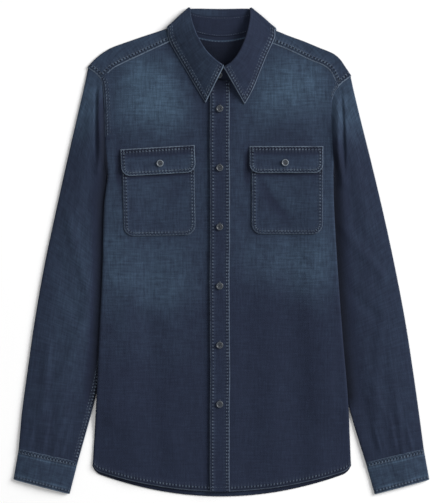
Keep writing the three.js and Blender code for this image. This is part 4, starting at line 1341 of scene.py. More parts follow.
@dataclass
class Placket(Piece):
    """The buttoned band along the left front."""

    free: float = -18.3
    sewn_edge: float = 13.5
    hem: float = -395.9
    top: float = 281.5

    def bulge(self, y: Array) -> Array:
        """Lift of the free edge, which is largest half way between two buttons."""
        return 0.25 + 0.6 * np.sin((y - BUTTON_TOP) / BUTTON_PITCH * math.pi) ** 2

    def face(self, x: Array, y: Array) -> Array:
        """Upper face: the left front's, a rest, one cloth, and a low ridge along both sewn edges."""
        base = LAY.left_front(np.maximum(x, LAY.placket_base), y) + LAY.cloth + LAY.rest + LAY.cloth
        from_edge = np.minimum(x - self.free, self.sewn_edge - x)
        waves = Unevenness(71, 0.1, 12, 50)(x, y)
        lift = smooth(x, -9, self.free) * self.bulge(y)
        edge = turned_edge(from_edge, 0.3, 5.4, 6.8, 0.25, 1.4)
        return base + edge + lift + waves

    def build(self) -> None:
        """The band: one row along its free edge, two along the sewn one and one across its foot."""
        s = np.linspace(0, 1, 24)[None]
        x = mix(self.free, self.sewn_edge, s)
        v = np.linspace(0, 1, 400)[:, None]
        reach = OUTLINES[Side.RIGHT].edge(self.hem)
        y = mix(hem_at(x, reach, self.hem, FRONT_HEM_RISE), self.top, v)
        x = x + 0 * y + 0.35 * np.sin(y / 41.0) + 0.2 * np.sin(y / 17.0 + 1.0)
        face = self.face(x, y)
        # Painted shade: the band darkens towards its top, under the collar's leaves
        fade = 0.02 + 0.1 * BODY_WASH_AND_SHADE(x * 6, y) - 0.4 * smooth(y, 252, 274)
        grid = Grid(stacked(x, y, face), stacked(x, y, face - LAY.cloth), flat(x, y), fade)
        grid.sew(Edge.FIRST_COLUMN, row=4.4)
        grid.sew(Edge.LAST_COLUMN, row=4.4)
        sewn = Soup()
        rows = ((Edge.FIRST_COLUMN, 4.4, 72), (Edge.LAST_COLUMN, 1.4, 73), (Edge.LAST_COLUMN, 4.6, 73))
        for edge, inset, seed in rows:
            TOPSTITCH.sew(sewn, grid.path(edge, inset), seed)
        FINE_STITCH.sew(sewn, grid.path(Edge.FIRST_ROW, 6.8), 74)
        cut = Cut(0.032, 0.678, None, ("front_left_cloth",))
        self.dress("placket", "denim", [grid], cut, sewn)


# Sleeves


@dataclass(frozen=True)
class SleeveLines:
    """Outer and inner edge of a laid sleeve at stations 0 to 9, as distances from the middle line."""

    outer_x: Column
    outer_y: Column
    inner_x: Column
    inner_y: Column
    folds: tuple[tuple[float, float, float, float, float, float], ...]
    creases: tuple[tuple[float, float, float, float, float, float, float], ...]
    pleats: tuple[Crease, ...]


STATIONS = tuple(float(k) for k in range(10))
SLEEVES = {
    Side.RIGHT: SleeveLines(
        Column(STATIONS, (219.9, 226.2, 238, 254, 273, 292, 308, 320.2, 329.4, 334.8)),
        Column(STATIONS, (303.6, 273, 222, 153, 67, -22, -113, -198, -266, -327)),
        Column(STATIONS, (187.4, 188.8, 184, 178.5, 178, 183, 191, 202, 217, 237.3)),
        Column(STATIONS, (131, 117, 95, 50, -14, -90, -158, -217, -276, -348.9)),
        (
            (0.1, 0.34, 2.2, 0.62, 2.2, 7),
            (0.1, 0.56, 1.6, 0.8, -1.2, 6),
            (1.4, 0.2, 4.2, 0.34, 1.3, 11),
            (3.9, 0.16, 5.2, 0.74, 1.7, 9),
            (4.6, 0.1, 5.7, 0.58, -1.1, 9),
            (5.4, 0.7, 7.4, 0.42, 1.5, 10),
            (6.4, 0.24, 8.9, 0.36, 1.3, 8),
            (7.9, 0.62, 9, 0.58, 1.2, 6),
        ),
        (
            (0.35, 0.3, 2.6, 0.86, 1.5, 4.0, 3.0),
            (0.2, 0.16, 2.2, 0.44, 0.9, 5.0, -3.0),
            (2.2, 0.7, 4.6, 0.48, 0.8, 7.0, 4.0),
            (4.2, 0.3, 6.4, 0.62, 0.8, 8.0, -5.0),
            (6.0, 0.2, 8.6, 0.3, 0.9, 6.0, 4.0),
            (6.6, 0.62, 8.9, 0.52, 0.9, 5.0, -3.0),
            (7.8, 0.4, 9.0, 0.42, 1.5, 2.8, 0.0),
            (8.1, 0.74, 9.0, 0.72, 1.4, 2.6, 0.0),
            (8.2, 0.2, 9.0, 0.18, 1.2, 2.6, 0.0),
        ),
        (
            Crease(206.5, 298, 207, 140, -2.4, 1.9, 1.0),
            Crease(201.0, 300, 201, 150, 1.8, 2.4, 1.0),
            Crease(195.2, 288, 193.5, 140, -3.0, 2.0, 1.0),
            Crease(214, 290, 222, 190, 1.2, 4.0, 2.0),
        ),
    ),
    Side.LEFT: SleeveLines(
        Column(STATIONS, (213.5, 219, 231, 248, 267.5, 286.5, 303.5, 316.5, 326.4, 334.5)),
        Column(STATIONS, (289.6, 264, 214, 146, 64, -24, -113, -196, -266, -327.2)),
        Column(STATIONS, (185, 186, 180, 171.5, 172, 178.5, 189, 201, 216, 238.8)),
        Column(STATIONS, (131, 117, 95, 50, -14, -90, -158, -217, -276, -349.8)),
        (
            (0.1, 0.4, 2.6, 0.58, 2.3, 8),
            (0.1, 0.62, 1.7, 0.82, -1.2, 6),
            (1.6, 0.24, 4.0, 0.3, 1.4, 11),
            (3.6, 0.7, 5.0, 0.2, 1.6, 9),
            (4.7, 0.78, 5.8, 0.36, -1.0, 9),
            (5.6, 0.3, 7.6, 0.6, 1.5, 10),
            (6.8, 0.76, 8.8, 0.66, 1.2, 8),
            (7.8, 0.3, 9, 0.36, 1.3, 6),
        ),
        (
            (0.3, 0.36, 2.8, 0.84, 1.5, 4.0, -3.0),
            (0.2, 0.2, 2.4, 0.4, 0.9, 5.0, 3.0),
            (2.0, 0.66, 4.4, 0.5, 0.8, 7.0, -4.0),
            (4.4, 0.34, 6.2, 0.6, 0.8, 8.0, 5.0),
            (5.8, 0.24, 8.4, 0.3, 0.9, 6.0, -4.0),
            (6.4, 0.66, 8.8, 0.5, 0.9, 5.0, 3.0),
            (7.9, 0.44, 9.0, 0.46, 1.5, 2.8, 0.0),
            (8.1, 0.72, 9.0, 0.7, 1.4, 2.6, 0.0),
            (8.2, 0.22, 9.0, 0.2, 1.2, 2.6, 0.0),
        ),
        (
            Crease(197.5, 278, 203.5, 122, -3.0, 2.2, 1.5),
            Crease(190.5, 266, 193, 126, 1.8, 3.2, 1.0),
            Crease(207.5, 284, 210, 232, -1.8, 2.0, 0.5),
            Crease(184.5, 236, 184.5, 150, -1.0, 1.8, 0.0),
        ),
    ),
}


def turned_edge(
    depth: Array, rise: float, start: float, stop: float, dip: float, reach: float = 1.5
) -> Array:
    """Height over an edge's turning, which ends between start and stop; the edge itself dips."""
    return rise * (1 - smooth(depth, start, stop)) - dip * (1 - smooth(depth, 0, reach))


def tube_section(over: int, under: int, like: Array) -> tuple[Array, Array]:
    """Shares across a flattened tube: over its upper side, then back under its lower one.

    Args:
        over: Points of the upper side, closer together near both edges.
        under: Points of the lower side.
        like: Column with a row for each section.

    Returns:
        The shares, and +1 on the upper side and -1 on the lower one.
    """
    across = mix(np.linspace(0, 1, over), (1 - np.cos(np.linspace(0, math.pi, over))) / 2, 0.55)
    a = np.concatenate([across, np.linspace(1, 0, under + 2)[1:-1]])[None] + 0 * like
    up = np.concatenate([np.ones(over), -np.ones(under)])[None] + 0 * like
    return a, up


def flattened(x: Array, y: Array, low: Array, high: Array, a: Array, up: Array) -> Array:
    """Points of a tube: half its height times sqrt(1 - |2a - 1| ** 12) above or below its middle."""
    round_ = np.sqrt(np.clip(1 - np.abs(2 * a - 1) ** 12, 0, 1))
    return stacked(x, y, (low + high) / 2 + up * np.maximum(high - low, 0.3) / 2 * round_)


@dataclass
class Sleeve(Piece):
    """One sleeve: a flattened tube from the armhole to the cuff."""

    crisp: ClassVar[bool] = True
    side: Side = Side.RIGHT
    edge_height: float = 4.4
    crown: float = 2.0
    cuff_height: float = 6.0
    last: float = 9.0
    rows: int = 210
    over: int = 88
    under: int = 22

    def plan(self, k: Array, a: Array) -> tuple[Array, Array]:
        """Plan point at share a across station k; near the body it follows the armhole's curve."""
        lines, cut = SLEEVES[self.side], OUTLINES[self.side]
        y = mix(lines.outer_y(k), lines.inner_y(k), a)
        armhole = cut.armhole(a)
        bulge = cut.edge(armhole) + 0.1 - mix(lines.outer_x.value[0], lines.inner_x.value[0], a)
        x = mix(lines.outer_x(k), lines.inner_x(k), a) + bulge * (1 - smooth(k, 0, 3))
        return self.side.value * x, y

    def ends(self, k1: float, a1: float, k2: float, a2: float) -> tuple[float, ...]:
        """Plan of both ends of a fold, which are given by station and share."""
        plans = (self.plan(np.array(k), np.array(a)) for k, a in ((k1, a1), (k2, a2)))
        return tuple(float(value) for plan in plans for value in plan)

    def heights(self, k: Array, a: Array, x: Array, y: Array) -> tuple[Array, Array]:
        """Underside and upper side of the tube before its edges are rounded.

        The underside's creases mirror those of the upper side.
        """
        crown = smooth(a, 0, 0.25) * (1 - smooth(a, 0.6, 0.82))
        at_body, at_cuff = 1 - smooth(k, 0, 1.3), smooth(k, self.last - 1, self.last)
        lift = np.zeros_like(x)
        for k1, a1, k2, a2, rise, half in SLEEVES[self.side].folds:
            lift = lift + Fold(*self.ends(k1, a1, k2, a2), rise, half)(x, y) * crown
        fine = Unevenness(81 + self.side.value, 0.16)(x, y)
        for pleat in SLEEVES[self.side].pleats:
            fine = fine + pleat(self.side.value * x, y)
        hollow = np.zeros_like(x)
        for k1, a1, k2, a2, rise, half, bend in SLEEVES[self.side].creases:
            for start, stop, total in ((a1, a2, fine), (1 - a1, 1 - a2, hollow)):
                total += Crease(*self.ends(k1, start, k2, stop), rise, half, bend)(x, y)
        fine = fine * smooth(a, 0.02, 0.12) * (1 - smooth(a, 0.9, 0.985))
        free = mix(self.edge_height + self.crown * crown, self.cuff_height - 0.6, at_cuff) + lift
        low = LAY.bottom(x, y) * at_body + 0.7 * hollow * smooth(k, 3.2, 4.4) * crown
        return low, mix(free, LAY.top(x, y) + LAY.cloth, at_body) + fine * (1 - 0.5 * at_body)

    def ring(self, k: Array, a: Array, up: Array, inset: float) -> Array:
        """Points of the tube, or of its hidden face where inset is the wall."""
        x, y = self.plan(k, a)
        low, high = self.heights(k, a, x, y)
        return flattened(x, y, low + inset, high - inset, a, up)

    def build(self) -> None:
        """The tube as a closed wall; the right one shows the two rows of its felled seam."""
        k = (self.last * np.linspace(0, 1, self.rows) ** 1.1)[:, None]
        a, up = tube_section(self.over, self.under, k)
        outer, inner = (self.ring(k, a, up, inset) for inset in (0.0, LAY.cloth))
        lines = SLEEVES[self.side]
        width = np.hypot(lines.outer_x(k) - lines.inner_x(k), lines.outer_y(k) - lines.inner_y(k))
        middle = np.array(self.plan(k[:, 0], 0.5 + 0 * k[:, 0]))
        length = np.concatenate([[0.0], np.cumsum(np.hypot(*np.diff(middle)))])
        cut = np.stack([a * width * np.where(up > 0, 1, -1), length[:, None] + 0 * a], axis=-1)
        fade = SLEEVE_WASH[self.side](outer[..., 0], outer[..., 1]) * np.where(up > 0, 1, 0.6)
        # Painted shade on the strip of sleeve beside the body's edge, from the height top down to the cuff
        beside = np.abs(outer[..., 0]) - OUTLINES[self.side].edge(outer[..., 1])
        top = {Side.RIGHT: 285, Side.LEFT: 200}[self.side]
        lee = smooth(outer[..., 1], top, top - 60) * smooth(outer[..., 1], -268, -236)
        fade = fade - 0.75 * np.exp(-((np.maximum(beside - 2, 0) / 12.0) ** 2)) * lee
        grid = Grid(outer, inner, cut, fade, around=True)
        sewn = Soup()
        if self.side is Side.RIGHT:
            self.mark_felled(grid, k)
            stations = np.linspace(3.2, 8.9, 300)
            for seed, inset in ((90, 5.0), (91, 9.0)):
                share = 1 - inset / np.interp(stations, k[:, 0], width[:, 0])
                points = self.ring(stations, share, np.ones_like(stations), 0.0)
                TOPSTITCH.sew(sewn, upright(points), seed)
        area = {Side.RIGHT: 0.122, Side.LEFT: 0.12}[self.side]
        cut_size = Cut(0.262, 0.62, area)
        self.dress(f"sleeve_{self.side.word}", "denim_faded", [grid], cut_size, sewn)

    def mark_felled(self, grid: Grid, k: Array) -> None:
        """Marks the felled seam along the inner edge of the upper side."""
        points = grid.outer[:, : self.over]
        depth, run = to_last_column(points), travelled(points[:, -1])
        near = (k > 3.0) & (depth < np.abs(grid.seam[:, : self.over]))
        grid.seam[:, : self.over] = np.where(near, depth, grid.seam[:, : self.over])
        grid.run[:, : self.over] = np.where(near, run[:, None], grid.run[:, : self.over])


@dataclass
class Cuff(Piece):
    """One cuff: a flattened band, buttoned underneath."""

    crisp: ClassVar[bool] = True
    side: Side = Side.RIGHT
    seam_outer: tuple[float, float] = (334.9, -327.4)
    seam_inner: tuple[float, float] = (237.4, -349.3)
    end_outer: tuple[float, float] = (343.3, -376.0)
    end_inner: tuple[float, float] = (250.5, -400.3)
    button: tuple[float, float] = (305.0, -361.0)
    rows: int = 46
    over: int = 66
    under: int = 14

    def ring(self, t: Array, a: Array, up: Array, inset: float) -> Array:
        """Points of the band, whose underside rises over the button and whose top swells a little."""
        outer, inner = (
            [mix(start[i], stop[i], t) for i in range(2)]
            for start, stop in ((self.seam_outer, self.end_outer), (self.seam_inner, self.end_inner))
        )
        x, y = mix(outer[0], inner[0], a), mix(outer[1], inner[1], a)
        away = np.hypot(x - self.button[0], y - self.button[1])
        low = 2.7 * (1 - smooth(away, 14, 26))
        waves = Unevenness(95 + self.side.value, 0.12, 12, 40)(x, y)
        edge = 0.35 * (1 - smooth(np.minimum(t, 1 - t) * CUFF_LENGTH, 4, 7))
        high = mix(4.4, 6.0, np.sin(math.pi * a)) + 0.4 * low + waves + edge
        return flattened(self.side.value * x, y, low + inset, high - inset, a, up)

    def lap_lift(self, t: Array) -> Array:
        """How far the band stands up over the sleeve that it laps over."""
        return 0.5 * (1 - smooth(t, 0, 0.14))

    def build(self) -> None:
        """The band, with two rows at the sleeve's seam, which it laps over, and one at its end."""
        t = np.linspace(-CUFF_LAP, 1, self.rows)[:, None]
        a, up = tube_section(self.over, self.under, t)
        outer, inner = (self.ring(t, a, up, inset) for inset in (0.0, LAY.band))
        outer = outer + UP * self.lap_lift(t)[..., None] * (up > 0)[..., None]
        cut = np.stack([a * 100 * np.where(up > 0, 1, -1), t * CUFF_LENGTH + 0 * a], axis=-1)
        turning = np.exp(-(((np.minimum(t, 1 - t) * CUFF_LENGTH - 8.8) / 0.9) ** 2))
        fade = (0.3 if self.side is Side.RIGHT else 0.38) + 0.5 * turning + 0 * a
        grid = Grid(outer, inner, cut, fade, around=True)
        grid.sew(Edge.FIRST_ROW, start=-1.2, row=6.4)
        grid.sew(Edge.LAST_ROW, row=4.8)
        sewn = Soup()
        share = np.linspace(0.012, 0.988, 120)
        rows = (-CUFF_LAP + 1.4 / CUFF_LENGTH, -CUFF_LAP + 6.4 / CUFF_LENGTH, 1 - 4.8 / CUFF_LENGTH)
        for k, place in enumerate(rows):
            at = np.full_like(share, place)
            points = self.ring(at, share, np.ones_like(share), 0.0)
            points[:, 2] += self.lap_lift(at)
            TOPSTITCH.sew(sewn, upright(points), 97 + k)
        self.dress(f"cuff_{self.side.word}", "denim", [grid], Cut(0.2, 0.053), sewn)


# Pockets


@dataclass
class Patch(Piece):
    """A piece sewn on the front, in its own directions: u across and v up from its centre, tilted."""

    side: Side = Side.RIGHT
    x: float = 0.0
    y: float = 0.0
    tilt: float = 0.0
    width: float = 118.0
    height: float = 125.0
    corner: float = 17.0
    step: ClassVar[float] = 1.2

    def place(self, u: Array, v: Array) -> tuple[Array, Array]:
        """Plan point of the patch's own coordinates."""
        turn = math.radians(self.tilt)
        c, s = math.cos(turn), math.sin(turn)
        return self.x + u * c - v * s, self.y + u * s + v * c

    def own(self, rows: int, columns: int) -> tuple[Array, Array]:
        """Own coordinates of a grid whose two lower corners are round."""
        even = np.linspace(0, 1, columns)
        s = mix(even, (1 - np.cos(math.pi * even)) / 2, 0.7)[None]
        u = (s - 0.5) * self.width
        past = np.clip((np.abs(u) - self.width / 2 + self.corner) / self.corner, 0, 1)
        low = -self.height / 2 + self.corner * (1 - np.sqrt(1 - past * past))
        v = mix(low, self.height / 2, np.linspace(0, 1, rows)[:, None])
        return u + 0 * v, v

    def border(self, inset: float) -> Array:
        """Own coordinates of a line inside the border: down one side, round, and up the other."""
        half, low, top = self.width / 2 - inset, -self.height / 2 + inset, self.height / 2
        radius = max(self.corner - inset, 2.0)
        turn = np.linspace(0, math.pi / 2, 14)
        left = np.stack([-half + radius * (1 - np.cos(turn)), low + radius * (1 - np.sin(turn))], -1)
        right = left[::-1] * np.array([-1.0, 1.0])
        line = np.concatenate([[[-half, top]], left, right, [[half, top]]])
        step = np.concatenate([[0.0], np.cumsum(np.hypot(*np.diff(line, axis=0).T))])
        even = np.arange(0, step[-1], self.step)
        return np.stack([np.interp(even, step, line[:, k]) for k in range(2)], axis=-1)

    def border_values(self, u: Array, v: Array, top: bool) -> tuple[Array, Array]:
        """Distance from the sewn border and the place along it, from the nearest of its points."""
        line = self.border(0.0)
        if top:
            across = np.arange(self.width / 2, -self.width / 2, -self.step)
            line = np.concatenate([line, np.stack([across, 0 * across + self.height / 2], axis=-1)])
        away = np.hypot(u[..., None] - line[:, 0], v[..., None] - line[:, 1])
        return away.min(axis=-1), away.argmin(axis=-1) * self.step

    def surface(self, u: Array, v: Array) -> Array:
        """Upper face in the plan; each kind of patch has its own."""
        raise NotImplementedError

    def sheet(self, rows: int, columns: int, fade: Array | float, top: bool) -> Grid:
        """The patch as a grid with its border marked."""
        u, v = self.own(rows, columns)
        points = self.surface(u, v)
        grid = Grid(points, points - LAY.cloth * UP, np.stack([u, v], axis=-1), fade + 0 * u)
        grid.seam, grid.run = self.border_values(u, v, top)
        return grid

    def row(self, sewn: Soup, line: Array, seed: int) -> None:
        """Sews a row along a line in the patch's own coordinates."""
        TOPSTITCH.sew(sewn, upright(self.surface(line[:, 0], line[:, 1])), seed)


@dataclass
class Pocket(Patch):
    """A chest pocket with round lower corners."""

    def lee(self, x: Array, y: Array) -> Array:
        """Painted shadow on the cloth just below the flap's edge."""
        edge = 129.85 if self.side is Side.LEFT else 127.6 + 0.0594 * (x + 104.2)
        return -0.55 * np.exp(-((np.maximum(edge - y, 0) / 4.2) ** 2))

    def trough(self, x: Array, y: Array) -> Array:
        """A shallow slanting hollow, whose line also paints shade on the cloth; it is longer on the left
        pocket.
        """
        if self.side is Side.LEFT:
            return Crease(60, 124, 122, 44, -0.26, 7, -5)(x, y)
        return Crease(-66, 122, -96, 60, -0.12, 8, 4)(x, y)

    def surface(self, u: Array, v: Array) -> Array:
        """The front's face, a rest, one cloth, a ridge at the turned edge and soft hollows between."""
        x, y = self.place(u, v)
        from_edge = np.minimum(self.width / 2 - np.abs(u), v + self.height / 2)
        fine = Unevenness(101 + self.side.value, 0.14, 14, 46)(x, y)
        ridge = turned_edge(from_edge, 0.45, 6.5, 8.5, 0.3)
        slack = Crease(self.x - 22, self.y + 30, self.x + 12, self.y - 40, 0.55, 12, 5)(x, y)
        slack = slack + Crease(self.x + 34, self.y + 34, self.x + 26, self.y - 30, 0.4, 9, -3)(x, y)
        slack = slack + self.trough(x, y) * 2.4
        calm = smooth(from_edge, 5, 16)
        return stacked(x, y, LAY.front_face(x, y) + LAY.rest + LAY.cloth + ridge + fine + slack * calm)

    def build(self) -> None:
        """The pocket, with two rows of stitches round its border."""
        u, v = self.own(96, 90)
        fade = 0.17 + 0.12 * np.exp(-((u / 44) ** 2) - ((v - 4) / 44) ** 2) - 0.1 * smooth(v, 20, 52)
        # Painted shade along the trough and painted shadow below the flap's edge
        fade = fade + self.trough(*self.place(u, v)) + self.lee(*self.place(u, v))
        grid = self.sheet(96, 90, fade, top=False)
        sewn = Soup()
        for k, inset in enumerate((1.4, 5.0)):
            self.row(sewn, self.border(inset), 110 + k)
        below = (f"front_{self.side.word}_cloth",)
        cut = Cut(self.width * MM, self.height * MM, None, below)
        self.dress(f"pocket_{self.side.word}", "denim_faded", [grid], cut, sewn)


@dataclass
class Flap(Patch):
    """A pocket flap, sewn along its top and loose below."""

    crisp: ClassVar[bool] = True
    corner: float = 15.0
    sewn_strip: float = 9.0
    button: tuple[float, float] = (0.0, 0.0)

    def surface(self, u: Array, v: Array) -> Array:
        """Over the pocket below its sewn strip; its free edge lifts a little between the corners."""
        x, y = self.place(u, v)
        over = 1 - smooth(v, self.height / 2 - self.sewn_strip, self.height / 2 - self.sewn_strip / 3)
        from_edge = np.minimum(self.width / 2 - np.abs(u), v + self.height / 2)
        ridge = turned_edge(from_edge, 0.5, 6.0, 8.0, 0.3)
        fine = Unevenness(121 + self.side.value, 0.12, 12, 40)(x, y)
        curl = 1.6 * smooth(-v, -2, self.height / 2) * np.cos(u / self.width * 5.6) ** 2
        ridge = np.maximum(ridge, 0.35 * smooth(v, self.height / 2 - 8, self.height / 2 - 6.5))
        base = LAY.front_face(x, y) + LAY.rest + LAY.cloth + (LAY.cloth + LAY.rest) * over
        return stacked(x, y, base + ridge + fine * over + curl)

    def build(self) -> None:
        """The flap, with rows along its free border and along its sewn top."""
        u, v = self.own(48, 92)
        fade = (0.22 if self.side is Side.RIGHT else 0.18) - 0.42 * smooth(v, 4, 14)
        grid = self.sheet(48, 92, fade, top=True)
        sewn = Soup()
        for k, inset in enumerate((1.4, 5.0)):
            self.row(sewn, self.border(inset), 130 + k)
        across = np.arange(-self.width / 2 + 3, self.width / 2 - 3, self.step)
        for k, inset in enumerate((1.4, 5.6)):
            self.row(sewn, np.stack([across, 0 * across + self.height / 2 - inset], axis=-1), 134 + k)
        below = (f"pocket_{self.side.word}_cloth", f"front_{self.side.word}_cloth")
        cut = Cut(self.width * MM, self.height * MM, None, below)
        self.dress(f"pocket_flap_{self.side.word}", "denim", [grid], cut, sewn)


# Collar


@dataclass(frozen=True)
class Station:
    """A place along the collar: fold, neck seam, leaf's edge, and the way its layers stack."""

    fold: tuple[float, float, float]
    neck: tuple[float, float, float]
    edge: tuple[float, float, float]
    stack: tuple[float, float, float]
    stand: float
    leaf: float
    lip: float

    def row(self) -> list[float]:
        """All values in one row."""
        return [*self.fold, *self.neck, *self.edge, *self.stack, self.stand, self.leaf, self.lip]


@dataclass
class Collar(Piece):
    """Stand and leaf as one flattened ring with a crease beside each shoulder.

    Rows of front: fold x, y, z, degrees along the neck seam, edge x, y, stand and leaf offset. Rows of
    crease: fold x, y, neck x, y, edge x, y. Rows of back: fold x, y, neck x, edge x, y, lip. Rows of
    ends: fold x, y, z, degrees along the neck seam, stand offset.
    """

    crisp: ClassVar[bool] = True
    core: float = 4.1
    stand_offset: float = 0.9
    leaf_offset: float = 3.3
    neck_gap: float = 0.9
    neck_drop: float = NECK_DROP
    back_neck: float = BACK_NECK
    back_neck_rise: float = BACK_NECK_RISE
    lip: float = 4.0
    steps: int = 11
    front: dict[Side, tuple[tuple[float, ...], ...]] = field(
        default_factory=lambda: {
            Side.RIGHT: (
                (-2.8, 303.2, 15.5, -5, 26.1, 246, -0.8, 5.2),
                (11.6, 314.6, 17.5, 17, 42.5, 273.8, 0.4, 4.2),
                (25.2, 328.6, 18, 35, 57.8, 300, 0.9, 3.6),
                (36.8, 346.9, 18, 53, 71, 322.5, 0.9, 3.4),
                (45.2, 365.4, 15.5, 69, 82, 342, 0.9, 3.3),
                (51.0, 386, 9.5, 84, 87.3, 356, 0.9, 3.3),
            ),
            Side.LEFT: (
                (4.8, 302, 15.5, 8, 38.6, 243.6, 2.2, 5.2),
                (16.6, 309.4, 17.5, 20, 52, 268.5, 1.5, 4.4),
                (27.6, 322.6, 18, 36, 64, 298, 0.9, 3.6),
                (37.4, 342, 18, 53, 75, 325, 0.9, 3.4),
                (44.6, 363.4, 15.5, 69, 84, 344, 0.9, 3.3),
                (48.4, 386, 9.5, 84, 88.2, 355, 0.9, 3.3),
            ),
        }
    )
    crease: dict[Side, tuple[float, ...]] = field(
        default_factory=lambda: {
            Side.RIGHT: (52.4, 399.4, 65.2, 373, 87.6, 366.8),
            Side.LEFT: (48.2, 399.2, 65.2, 371.4, 88.2, 365),
        }
    )
    back: tuple[tuple[float, ...], ...] = (
        (37, 399.4, 45, 60, 355.6, 9),
        (18, 398.9, 22, 29, 347.4, 11),
        (0, 398.7, 0, 0, 345, 11),
    )
    ends: dict[Side, tuple[float, ...]] = field(
        default_factory=lambda: {
            Side.RIGHT: (-14, 300.6, 14.4, -11, -1.4),
            Side.LEFT: (-11.5, 301.8, 14.4, -10, 2.8),
        }
    )

    def neck_at(self, side: Side, degrees: float) -> tuple[float, float]:
        """Point of the front neck seam: an ellipse quarter from its lowest point to the shoulder."""
        x, y = OUTLINES[side].neck
        turn = math.radians(degrees)
        drop = y - self.neck_drop - self.neck_gap
        return (x - self.neck_gap) * math.sin(turn), y - drop * math.cos(turn)

    def front_station(self, side: Side, row: tuple[float, ...]) -> Station:
        """Station of the front: the neck on the front panel, the edge resting on it."""
        fold_x, fold_y, fold_z, degrees, edge_x, edge_y, stand, leaf = row
        sign = side.value
        neck_x, neck_y = self.neck_at(side, degrees)
        under = LAY.front_under(side)(np.array(sign * neck_x), np.array(neck_y))
        neck_z = float(under) + LAY.cloth / 2 - stand + LAY.gap
        face = float(LAY.front_face(np.array(sign * edge_x), np.array(edge_y)))
        edge_z = face + LAY.rest + LAY.band / 2 - leaf
        return Station(
            (sign * fold_x, fold_y, fold_z),
            (sign * neck_x, neck_y, neck_z),
            (sign * edge_x, edge_y, edge_z),
            (0.0, 0.0, 1.0),
            stand,
            leaf,
            self.lip,
        )

    def turned(self, side: Side, degrees: float, row: tuple[float, ...], lip: float) -> Station:
        """Station beside or behind the neck, whose layers stack in a direction turned so far over."""
        fold_x, fold_y, neck_x, neck_y, edge_x, edge_y = row
        sign, turn = side.value, math.radians(degrees)
        dx, dy = edge_x - fold_x, edge_y - fold_y
        length = math.hypot(dx, dy)
        out = (sign * abs(dy) / length, abs(dx) / length)
        stack = (out[0] * math.sin(turn), out[1] * math.sin(turn), math.cos(turn))
        plans = ((fold_x, fold_y), (neck_x, neck_y), (edge_x, edge_y))
        at = ((sign * x, y, self.core) for x, y in plans)
        return Station(*at, stack, self.stand_offset, self.leaf_offset, lip)

    def stand_end(self, side: Side) -> Station:
        """Free end of the stand, past the middle of the throat."""
        fold_x, fold_y, fold_z, degrees, stand = self.ends[side]
        sign = side.value
        neck_x, neck_y = self.neck_at(side, degrees)
        overlap = LAY.cloth + LAY.gap if side is Side.RIGHT else 0.0
        under = float(LAY.left_front(np.array(sign * neck_x), np.array(neck_y))) - overlap
        neck = (sign * neck_x, neck_y, under + LAY.cloth / 2 + LAY.gap - stand)
        fold = (sign * fold_x, fold_y, fold_z)
        return Station(fold, neck, neck, (0.0, 0.0, 1.0), stand, self.leaf_offset, self.lip)

    def stations(self) -> list[Station]:
        """The whole ring, from the right front corner round the back to the left front corner."""

        def half(side: Side) -> list[Station]:
            """One side, from its front corner to the middle of the back."""
            fronts = [self.front_station(side, row) for row in self.front[side]]
            turns = (0, 45, 90, 135, 180)
            creases = [self.turned(side, turn, self.crease[side], self.lip) for turn in turns]
            behind = []
            for fold_x, fold_y, neck_x, edge_x, edge_y, lip in self.back:
                rise = self.back_neck_rise * (neck_x / NECK_POINT) ** 2
                neck_y = self.back_neck + rise + self.neck_gap
                row = (fold_x, fold_y, neck_x, neck_y, edge_x, edge_y)
                behind.append(self.turned(side, 180, row, lip))
            return [*fronts, *creases, *behind]

        return [*half(Side.RIGHT), *half(Side.LEFT)[-2::-1]]

    def dense(self, stations: list[Station]) -> dict[str, Array]:
        """The stations' values on a cubic through them, so many steps between each two."""
        rows = np.array([station.row() for station in stations])
        at = tuple(float(k) for k in range(len(rows)))
        fine = np.linspace(0, len(rows) - 1, (len(rows) - 1) * self.steps + 1)
        table = np.stack([Column(at, tuple(rows[:, k]))(fine) for k in range(rows.shape[1])], axis=-1)
        names = ("fold", "neck", "edge", "stack", "stand", "leaf", "lip")
        parts = np.split(table, (3, 6, 9, 12, 13, 14), axis=-1)
        found = {name: part[:, None] for name, part in zip(names, parts)}
        return {**found, "stack": unit(found["stack"])}

    def wall(self, surface: Array, extra: Array, fade: Array) -> Grid:
        """A wall of even thickness about a surface, raised by extra on the face that shows."""
        normal = unit(np.cross(np.gradient(surface, axis=0), np.gradient(surface, axis=1)))
        half = LAY.band / 2
        along, across = reached(surface, 0), reached(surface, 1)
        middle = along[:, along.shape[1] // 2][:, None] + 0 * across
        cut = np.stack([middle, across], axis=-1)
        normal = normal * (1.0 if normal[2, -2, 2] > 0 else -1.0)
        return Grid(surface + normal * (half + extra[..., None]), surface - normal * half, cut, fade)

